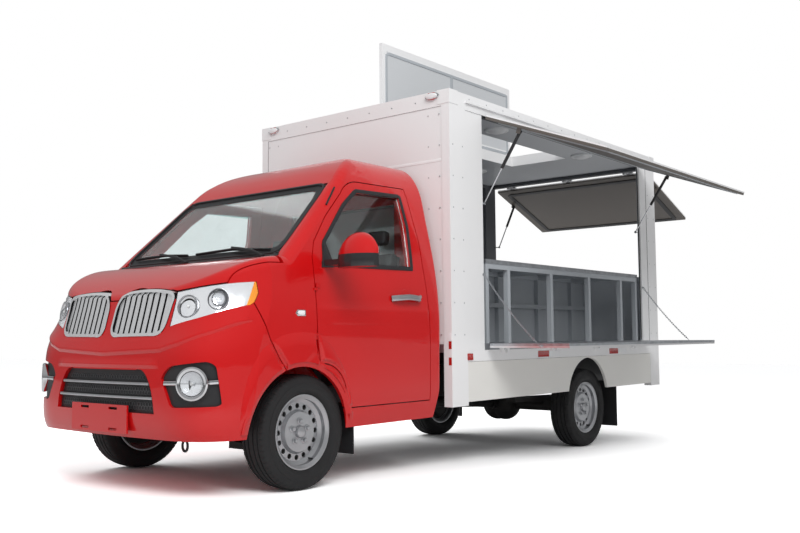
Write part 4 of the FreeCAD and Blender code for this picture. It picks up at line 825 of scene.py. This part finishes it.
# Headlamps. A clear moulded cover over a chromed bowl, a projector lens and the amber
# indicator at its outer end. Cover and housing are copies of the two solids of each lamp,
# so that each has its own material.
def loose(name):
    """The node's separate solids as (points, faces)."""
    mesh = nodes[name].data
    near = [[] for _ in mesh.vertices]
    for e in mesh.edges:
        a, b = e.vertices
        near[a].append(b)
        near[b].append(a)
    mark = np.full(len(near), -1)
    for start in range(len(mark)):
        todo = [start] if mark[start] < 0 else []
        while todo:
            i = todo.pop()
            if mark[i] < 0:
                mark[i] = start
                todo += near[i]
    co = np.array([tuple(v.co) for v in mesh.vertices])
    out = []
    for key in np.unique(mark):
        new = np.cumsum(mark == key) - 1
        faces = [[int(new[i]) for i in p.vertices] for p in mesh.polygons if mark[p.vertices[0]] == key]
        out.append((co[mark == key], faces))
    return out


amber_end = parted(chrome, lambda t: sums(t, "GREATER_THAN", sums(t, "ABSOLUTE", level_axes(t)["X"]), 0.772),
                   (0.85, 0.30, 0.04), 0.25, name="lamp_reflector")
solids = loose("headlamps")
foremost = min(co[:, 1].min() for co, _ in solids) + 0.004
covers = joined(*[s for s in solids if s[0][:, 1].min() < foremost])
housings = joined(*[s for s in solids if s[0][:, 1].min() >= foremost])
o = piece("lamp_covers", *covers, lens, place=None, crease=30.0)
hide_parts("headlamps")
o = piece("lamp_housings", *housings, amber_end, place=None, crease=30.0)
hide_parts("headlamps")
lamp_back = BVHTree.FromPolygons([tuple(p) for p in housings[0]], housings[1])
reflectors, aims, bezels = [], [], []
for x, z, r in ((0.566, 0.948, 0.052), (0.690, 0.982, 0.048)):
    (p,), (w,) = on_front(lamp_back, [x], z)
    aim = unit(np.array((0.30, -1.0, 0.02)) * 0.5 + w * 0.5)
    at = p + aim * 0.004
    aims.append((at, aim))
    bezel = ((-0.020, 0.0), (0.004, 0.007), (0.009, 0.006), (0.010, 0.002), (0.004, -0.001), (-0.020, -0.004),
             (-0.020, 0.0))
    bezels.append(turned([(a, r + b) for a, b in bezel], at, aim, 48))
    dish = [(-0.016 + 0.018 * t * t, r * 0.97 * t) for t in np.linspace(1.0, 0.0, 9)]
    reflectors.append(turned([(-0.019, 0.0), (-0.019, r * 0.97)] + dish, at, aim, 48))
shade = [(a, r * b) for a, b in ((-0.012, 0.67), (0.004, 0.72), (0.006, 0.78), (0.006, 0.70), (-0.012, 0.66),
                                 (-0.012, 0.67))]
bezels.append(turned(shade, *aims[1]))
dome = [(0.006 + 0.016 * math.cos(t), r * 0.66 * math.sin(t)) for t in np.linspace(math.pi / 2, 0.0, 8)]
projector = turned([(0.000, 0.0), (0.000, r * 0.66)] + dome, *aims[1])
bulb = ((-0.018, 0.0), (-0.018, 0.00832), (0.002, 0.0078), (0.006, 0.00416), (0.006, 0.0))
piece("lamp_bezels", *two(joined(*bezels)), silver)
piece("lamp_reflectors", *two(joined(*reflectors)), chrome)
piece("lamp_projectors", *two(projector), lens)
piece("lamp_bulbs", *two(turned(bulb, *aims[0], 20)), glow)


# Pressed shapes of the skin. The wing's broad shoulder over each front wheel, one long
# crease along each side, the ridge across the fascia and the brow over its intake swell
# out of their panels. Each is laid on its own panel and rides with it.
def raised(name, panel, body, starts, way, height):
    """Patch on a panel: each start of a (rows, cols, 3) grid runs along way to the skin, and
    the point found is lifted by height(i, j), which fades to 0 near the panel's edge."""
    flush, tuck, fade_from, fade_over = 0.0003, 0.0008, 0.008, 0.016
    skin = skin_of(panel)
    rows, cols = starts.shape[:2]
    d = tipped(unit(way))
    line = stand(starts.reshape(-1, 3))
    hits = np.full((rows * cols, 3), np.nan)
    out = np.zeros((rows * cols, 3))
    for k, start in enumerate(line):
        hit, normal, _, _ = skin.ray_cast(Vector(start), Vector(d))
        if hit is not None and normal.dot(Vector(d)) ** 2 > 0.04:
            hits[k] = hit
            out[k] = np.array(normal) * (1.0 if normal.dot(Vector(d)) < 0 else -1.0)
    good = ~np.isnan(hits[:, 0])
    if good.sum() < 8:
        return
    depth = hits @ d
    good[good] = depth[good] < np.median(depth[good]) + 0.30
    rise = np.asarray(height, float).reshape(-1)[good]
    if (~good).any():
        flat = line - (line @ d)[:, None] * d
        beyond = KDTree(int((~good).sum()))
        for k, q in enumerate(flat[~good]):
            beyond.insert(Vector(q), k)
        beyond.balance()
        gap = np.array([beyond.find(Vector(q))[2] for q in flat[good]])
        fade = np.clip((gap - fade_from) / fade_over, 0.0, 1.0)
        rise = rise * fade * fade * (3.0 - 2.0 * fade)
    n = int(good.sum())
    index = np.full(rows * cols, -1)
    index[good] = np.arange(n)
    index = index.reshape(rows, cols)
    co = np.vstack([hits[good] + out[good] * (rise + flush)[:, None], hits[good] - out[good] * tuck])
    q = np.stack([index[:-1, :-1], index[:-1, 1:], index[1:, 1:], index[1:, :-1]], -1).reshape(-1, 4)
    quads = [tuple(int(v) for v in f) for f in q if f.min() >= 0]
    edges = {(a, b) for f in quads for a, b in zip(f, f[1:] + f[:1])}
    faces = [list(f) for f in quads] + [[k + n for k in f[::-1]] for f in quads]
    faces += [[b, a, a + n, b + n] for a, b in edges if (b, a) not in edges]
    if quads:
        piece(name, co, faces, red, body, place=None, crease=55.0)


def grid(a, b):
    """Two arrays of every pair of values."""
    return np.meshgrid(a, b, indexing="ij")


# Outer line of the shoulder: its radius about the wheel arch's centre at angles from the rear
turns = (0.0, 30.0, 53.0, 74.5, 90.0, 105.0, 122.0, 146.0, 162.0, 180.0)
reach = (0.400, 0.420, 0.471, 0.528, 0.527, 0.529, 0.521, 0.450, 0.415, 0.400)
f, a = grid(np.linspace(0.0, 1.0, 34), np.linspace(6.0, 174.0, 290))
r = arch_r + (np.interp(a, turns, reach) - arch_r) * f
swell = np.where(f < 0.55, 1.0 - 0.25 * f, 0.8625 * (1.0 - (np.maximum(f - 0.55, 0.0) / 0.45) ** 1.5))
swell = 0.012 * swell * np.clip(np.minimum(a - 6.0, 174.0 - a) / 12.0, 0.0, 1.0)
hip_y, hip_z = arch_y + r * np.cos(np.radians(a)), arch_z + r * np.sin(np.radians(a))
t, y = grid(np.linspace(-1.0, 1.0, 13), np.linspace(-0.02, 1.06, 100))
z = 0.945 + t * np.where(t > 0, 0.050, 0.085)
fold = 0.0035 * np.where(t > 0, (1.0 - t) ** 2, 1.0 + t) * np.clip((y + 0.02) / 0.20, 0.0, 1.0)
for side, name in sides:
    panels = (("front_bumper", "truck", "bumper"), ("cab_body", "truck", "wing"),
              ("door_" + name, "door_" + name, "door"))
    way = (-side, 0, 0)
    for panel, body, part in panels:
        raised("hip_%s_%s" % (part, name), panel, body, beside(side, hip_y, hip_z), way, swell)
    for panel, body, part in panels[1:]:
        raised("crease_%s_%s" % (part, name), panel, body, beside(side, y, z), way, fold)

# Ridge of the fascia: level below the grilles, rising outward under the headlamps
t, x = grid(np.linspace(0.0, 1.0, 16), np.linspace(-0.800, 0.800, 150))
z = np.interp(abs(x), (0.0, 0.455, 0.585, 0.722, 0.800), (0.704, 0.724, 0.758, 0.814, 0.872)) + t * 0.105
h = 0.010 * np.where(t < 0.17, t / 0.17, (1.0 - np.maximum(t - 0.17, 0.0) / 0.83) ** 1.6)
raised("fascia_ridge", "front_bumper", "truck", np.stack([x, 0 * t + before_nose, z], -1), (0, 1, 0), h)
t, x = grid(np.linspace(-1.0, 1.0, 14), np.linspace(-0.46, 0.46, 100))
z = 0.664 + t * np.where(t < 0, 0.020, 0.040)
h = 0.006 * np.where(t < 0, 1.0 + t, (1.0 - t) ** 2) * np.clip((0.46 - abs(x)) / 0.06, 0.0, 1.0)
raised("intake_brow", "front_bumper", "truck", np.stack([x, 0 * t + before_nose, z], -1), (0, 1, 0), h)


# Brake drums. Plain cast drums close behind the wheel discs, seen through the vent holes;
# each turns with its wheel.
for where in wheels:
    middle, side, disc = wheel(where)
    depths = []
    for t in angles(48):
        start = middle + (side * 0.2, 0.150 * math.cos(t), 0.150 * math.sin(t))
        hit = disc.ray_cast(Vector(start), Vector((-side, 0.0, 0.0)))[0]
        if hit is not None:
            depths.append(side * (hit[0] - middle[0]))
    face = min(d for d in depths if d > max(depths) - 0.03) - 0.014
    drum = turned(((face - 0.040, 0.0), (face - 0.040, 0.150), (face - 0.036, 0.160), (face - 0.004, 0.160),
                   (face, 0.155), (face, 0.0)), middle, (side, 0, 0), 64)
    piece("brake_drum_" + where, *drum, cast_iron, "wheel_" + where, place=None)


# Seats. Two moulded pans with foam cushions, backs and head rests under woven cloth.
# The foam is blown up under its cover: the cover is a cloth with pressure inside.
def blown(co, faces, cap):
    """Points of a closed form after 20 frames as a cloth with pressure inside, none moved
    further than cap; new points, faces."""
    mesh = bpy.data.meshes.new("pad_work")
    mesh.from_pydata(np.asarray(co).tolist(), [], [list(map(int, q)) for q in faces])
    o = bpy.data.objects.new("pad_work", mesh)
    bpy.context.scene.collection.objects.link(o)
    remesh = o.modifiers.new("even", "REMESH")
    remesh.mode = "VOXEL"
    remesh.voxel_size = 0.014
    even = bpy.data.meshes.new_from_object(o.evaluated_get(bpy.context.evaluated_depsgraph_get()))
    o.modifiers.clear()
    o.data = even
    start, end = np.empty((2, len(even.vertices) * 3))
    even.vertices.foreach_get("co", start)
    cover = o.modifiers.new("cover", "CLOTH")
    cover.settings.use_pressure = True
    cover.settings.uniform_pressure_force = 4.0
    cover.settings.effector_weights.gravity = 0.0
    cover.settings.quality = 4
    cover.point_cache.frame_end = 20
    for frame_number in range(1, 21):
        bpy.context.scene.frame_set(frame_number)
    moved = o.evaluated_get(bpy.context.evaluated_depsgraph_get()).to_mesh()
    moved.vertices.foreach_get("co", end)
    step = (end - start).reshape(-1, 3)
    length = np.linalg.norm(step, axis=1, keepdims=True)
    out = start.reshape(-1, 3) + step * np.minimum(1.0, cap / np.maximum(length, 1e-9))
    polys = [list(q.vertices) for q in even.polygons]
    bpy.context.scene.frame_set(1)
    bpy.data.objects.remove(o)
    return out, polys


back_lean, hinge, seat_x = 8.0, (0.0, 0.900, 0.900), 0.390


def leaned(co, degrees=back_lean):
    """Turned back by that many degrees about the hinge of the seat's back."""
    c, s = math.cos(math.radians(degrees)), math.sin(math.radians(degrees))
    x, dy, dz = (np.array(co, float) - hinge).T
    return np.stack([x, dy * c + dz * s, dz * c - dy * s], 1) + hinge


for pad, size_box, lean in (("cushion", (-0.222, 0.222, 0.430, 0.860, 0.812, 0.905), 0.0),
                            ("back", (-0.212, 0.212, 0.873, 0.950, 0.945, 1.320), back_lean),
                            ("headrest", (-0.125, 0.125, 0.880, 0.945, 1.375, 1.465), back_lean)):
    out, polys = slab_box(*size_box, edge=0.012)
    out, polys = blown(out, polys, 0.013)
    for side, name in sides:
        place_of_pad = leaned(out, lean) + (side * seat_x, 0.0, 0.0)
        o = piece("seat_%s_%s" % (pad, name), place_of_pad, polys, cloth, crease=0)
        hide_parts("seats")
        smooth = o.modifiers.new("rounding", "SUBSURF")
        smooth.levels = smooth.render_levels = 1
frames, stalks = [], []
for x in (seat_x, -seat_x):
    frames.append(slab_box(x - 0.235, x + 0.235, 0.425, 0.895, 0.690, 0.800, 0.010))
    co, faces = slab_box(x - 0.205, x + 0.205, 0.935, 0.955, 0.920, 1.300, 0.004)
    frames.append((leaned(co), faces))
    for dx in (-0.06, 0.06):
        co, faces = swept(((x + dx, 0.915, 1.315), (x + dx, 0.915, 1.385)), circle(0.006), (0, 1, 0))
        stalks.append((leaned(co), faces))
o = piece("seat_pans", *joined(*frames), trim)
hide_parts("seats")
o = piece("headrest_stalks", *joined(*stalks), steel)
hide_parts("seats")


# Chains of the counter flap: welded links, each turned a quarter to the next, hanging in a
# shallow curve from an eye bolt beside the opening to a hook under the flap's pin.
def link(centre, along, flat, length=0.0125, width=0.0042, wire=0.0019):
    """Closed ring of wire: two half circles joined by straights, in the plane of along and flat."""
    t = angles(16)
    a = np.cos(t) * width + np.sign(np.cos(t)) * (length - width) * (abs(np.cos(t)) > 0.2)
    ring = centre + a[:, None] * along + (np.sin(t) * width)[:, None] * flat
    return swept(ring, circle(wire, 6), np.cross(along, flat), ring=True)


across_y = np.array((0.0, 1.0, 0.0))
chain_up = unit((-0.409, 0.0, 0.462))
below_pin = 0.0072 * np.array((-chain_up[2], 0.0, chain_up[0]))
for y, name in ((1.539, "front"), (3.936, "rear")):
    pin = np.array((1.285, y, 0.728))
    t = np.linspace(0.0, 1.0, 29)[:, None]
    a, b = np.array((0.880, y, 1.183)), pin + chain_up * 0.038 + below_pin
    line = a * (1 - t) + b * t - np.array((0.0, 0.0, 0.088)) * t * (1 - t)
    links = []
    for k, (p, q) in enumerate(zip(line[:-1], line[1:])):
        flat = across_y if k % 2 else unit(np.cross(q - p, across_y))
        links.append(link((p + q) / 2, unit(q - p), flat))
    bolt = ((0.0, 0.0), (0.0, 0.0090), (0.003, 0.0090), (0.003, 0.0045), (0.016, 0.0045), (0.016, 0.0))
    links.append(turned(bolt, (0.8665, y, 1.190), (1.0, 0.0, 0.0), 12))
    bend = np.radians(np.linspace(90.0, 205.0, 12))[:, None]
    hook = pin + 0.0072 * np.cos(bend) * chain_up + np.sin(bend) * below_pin
    links.append(swept(np.vstack([b, pin + chain_up * 0.012 + below_pin, hook]), circle(0.0020, 8), across_y))
    o = piece("flap_chain_" + name, *joined(*links), zinc)
    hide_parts("chains")


# Ceiling lamps. Opal plastic domes in white moulded rings, screwed to the roof's underside
# in two rows.
dome = [(0.004 + 0.026 * math.cos(t), 0.070 * math.sin(t)) for t in np.linspace(math.pi / 2, 0.0, 9)]
rim = ((-0.001, 0.062), (-0.001, 0.086), (0.010, 0.086), (0.014, 0.080), (0.014, 0.072), (0.004, 0.062),
       (-0.001, 0.062))
for i, (x, y) in enumerate(((0.620, 2.100), (0.620, 3.370), (-0.430, 2.100), (-0.430, 3.370))):
    ring = turned(rim, (x, y, 2.280), (0, 0, -1), 48)
    bowl = turned([(0.0, 0.0), (0.0, 0.070)] + dome, (x, y, 2.280), (0, 0, -1))
    o = piece("ceiling_lamp_%d" % i, *joined(ring, bowl), glow)
    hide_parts("ceiling_lamps")


# Edge frames of the awnings. A channel round the underside of each leaf, grey on the left
# one and black on the rear one.
leaf_reach = 0.935 * math.cos(droop) - 0.040
x0, x1, y0, y1 = 0.960, 0.888 + leaf_reach, 4.320, 4.243 + leaf_reach
for name, coat, corners in (("left", inner, ((x0, 1.640), (x1, 1.640), (x1, 3.835), (x0, 3.835))),
                            ("rear", trim, ((0.700, y0), (0.700, y1), (-0.700, y1), (-0.700, y0)))):
    x, y = spread(corners, 0.04, ring=True).T
    line, lift = laid(skin_of("awning_" + name), np.stack([x, y, 0 * x], 1), (0.0, 0.0, 1.0))
    channel = swept(line, rounded_strip(0.044, 0.006, 0.002), lift, ring=True)
    piece("awning_frame_" + name, *channel, coat, "awning_" + name)


# Hatch lid edging. A folded grey channel round the sheet and one stiffener up its middle,
# both riveted on.
lid_skin = skin_of("hatch_lid")
for name, ring, section, points in (
        ("edging", True, (0.022, 0.005, 0.002), ((1.735, 2.395), (3.385, 2.395), (3.385, 2.915), (1.735, 2.915))),
        ("stiffener", False, (0.030, 0.006, 0.002), ((2.56, 2.40), (2.56, 2.91)))):
    line, lift = on_side(lid_skin, 1, points, 0.05, ring)
    piece("lid_" + name, *swept(line, rounded_strip(*section), lift, ring=ring), inner, "hatch_lid")


# Seams of the body: the strip over the front wall's joint, a black rubber seal along the
# serving opening's sides and top, and the drip rail above it.
piece("front_wall_seam", *slab_box(-0.800, 0.800, 1.1822, 1.1842, 1.896, 1.914, 0.001), white)
y, z = spread(((1.549, 0.752), (1.549, 2.241), (3.926, 2.241), (3.926, 0.752)), 0.05).T
piece("opening_seal", *swept(np.stack([0 * y + 0.8505, y, z], 1), circle(0.004, 8), (1.0, 0.0, 0.0)), black)
rail = slab_box(0.866, 0.886, 1.35, 4.05, 2.290, 2.298, 0.002)
piece("drip_rail", *joined(rail, slab_box(0.882, 0.886, 1.35, 4.05, 2.298, 2.306, 0.001)), white)
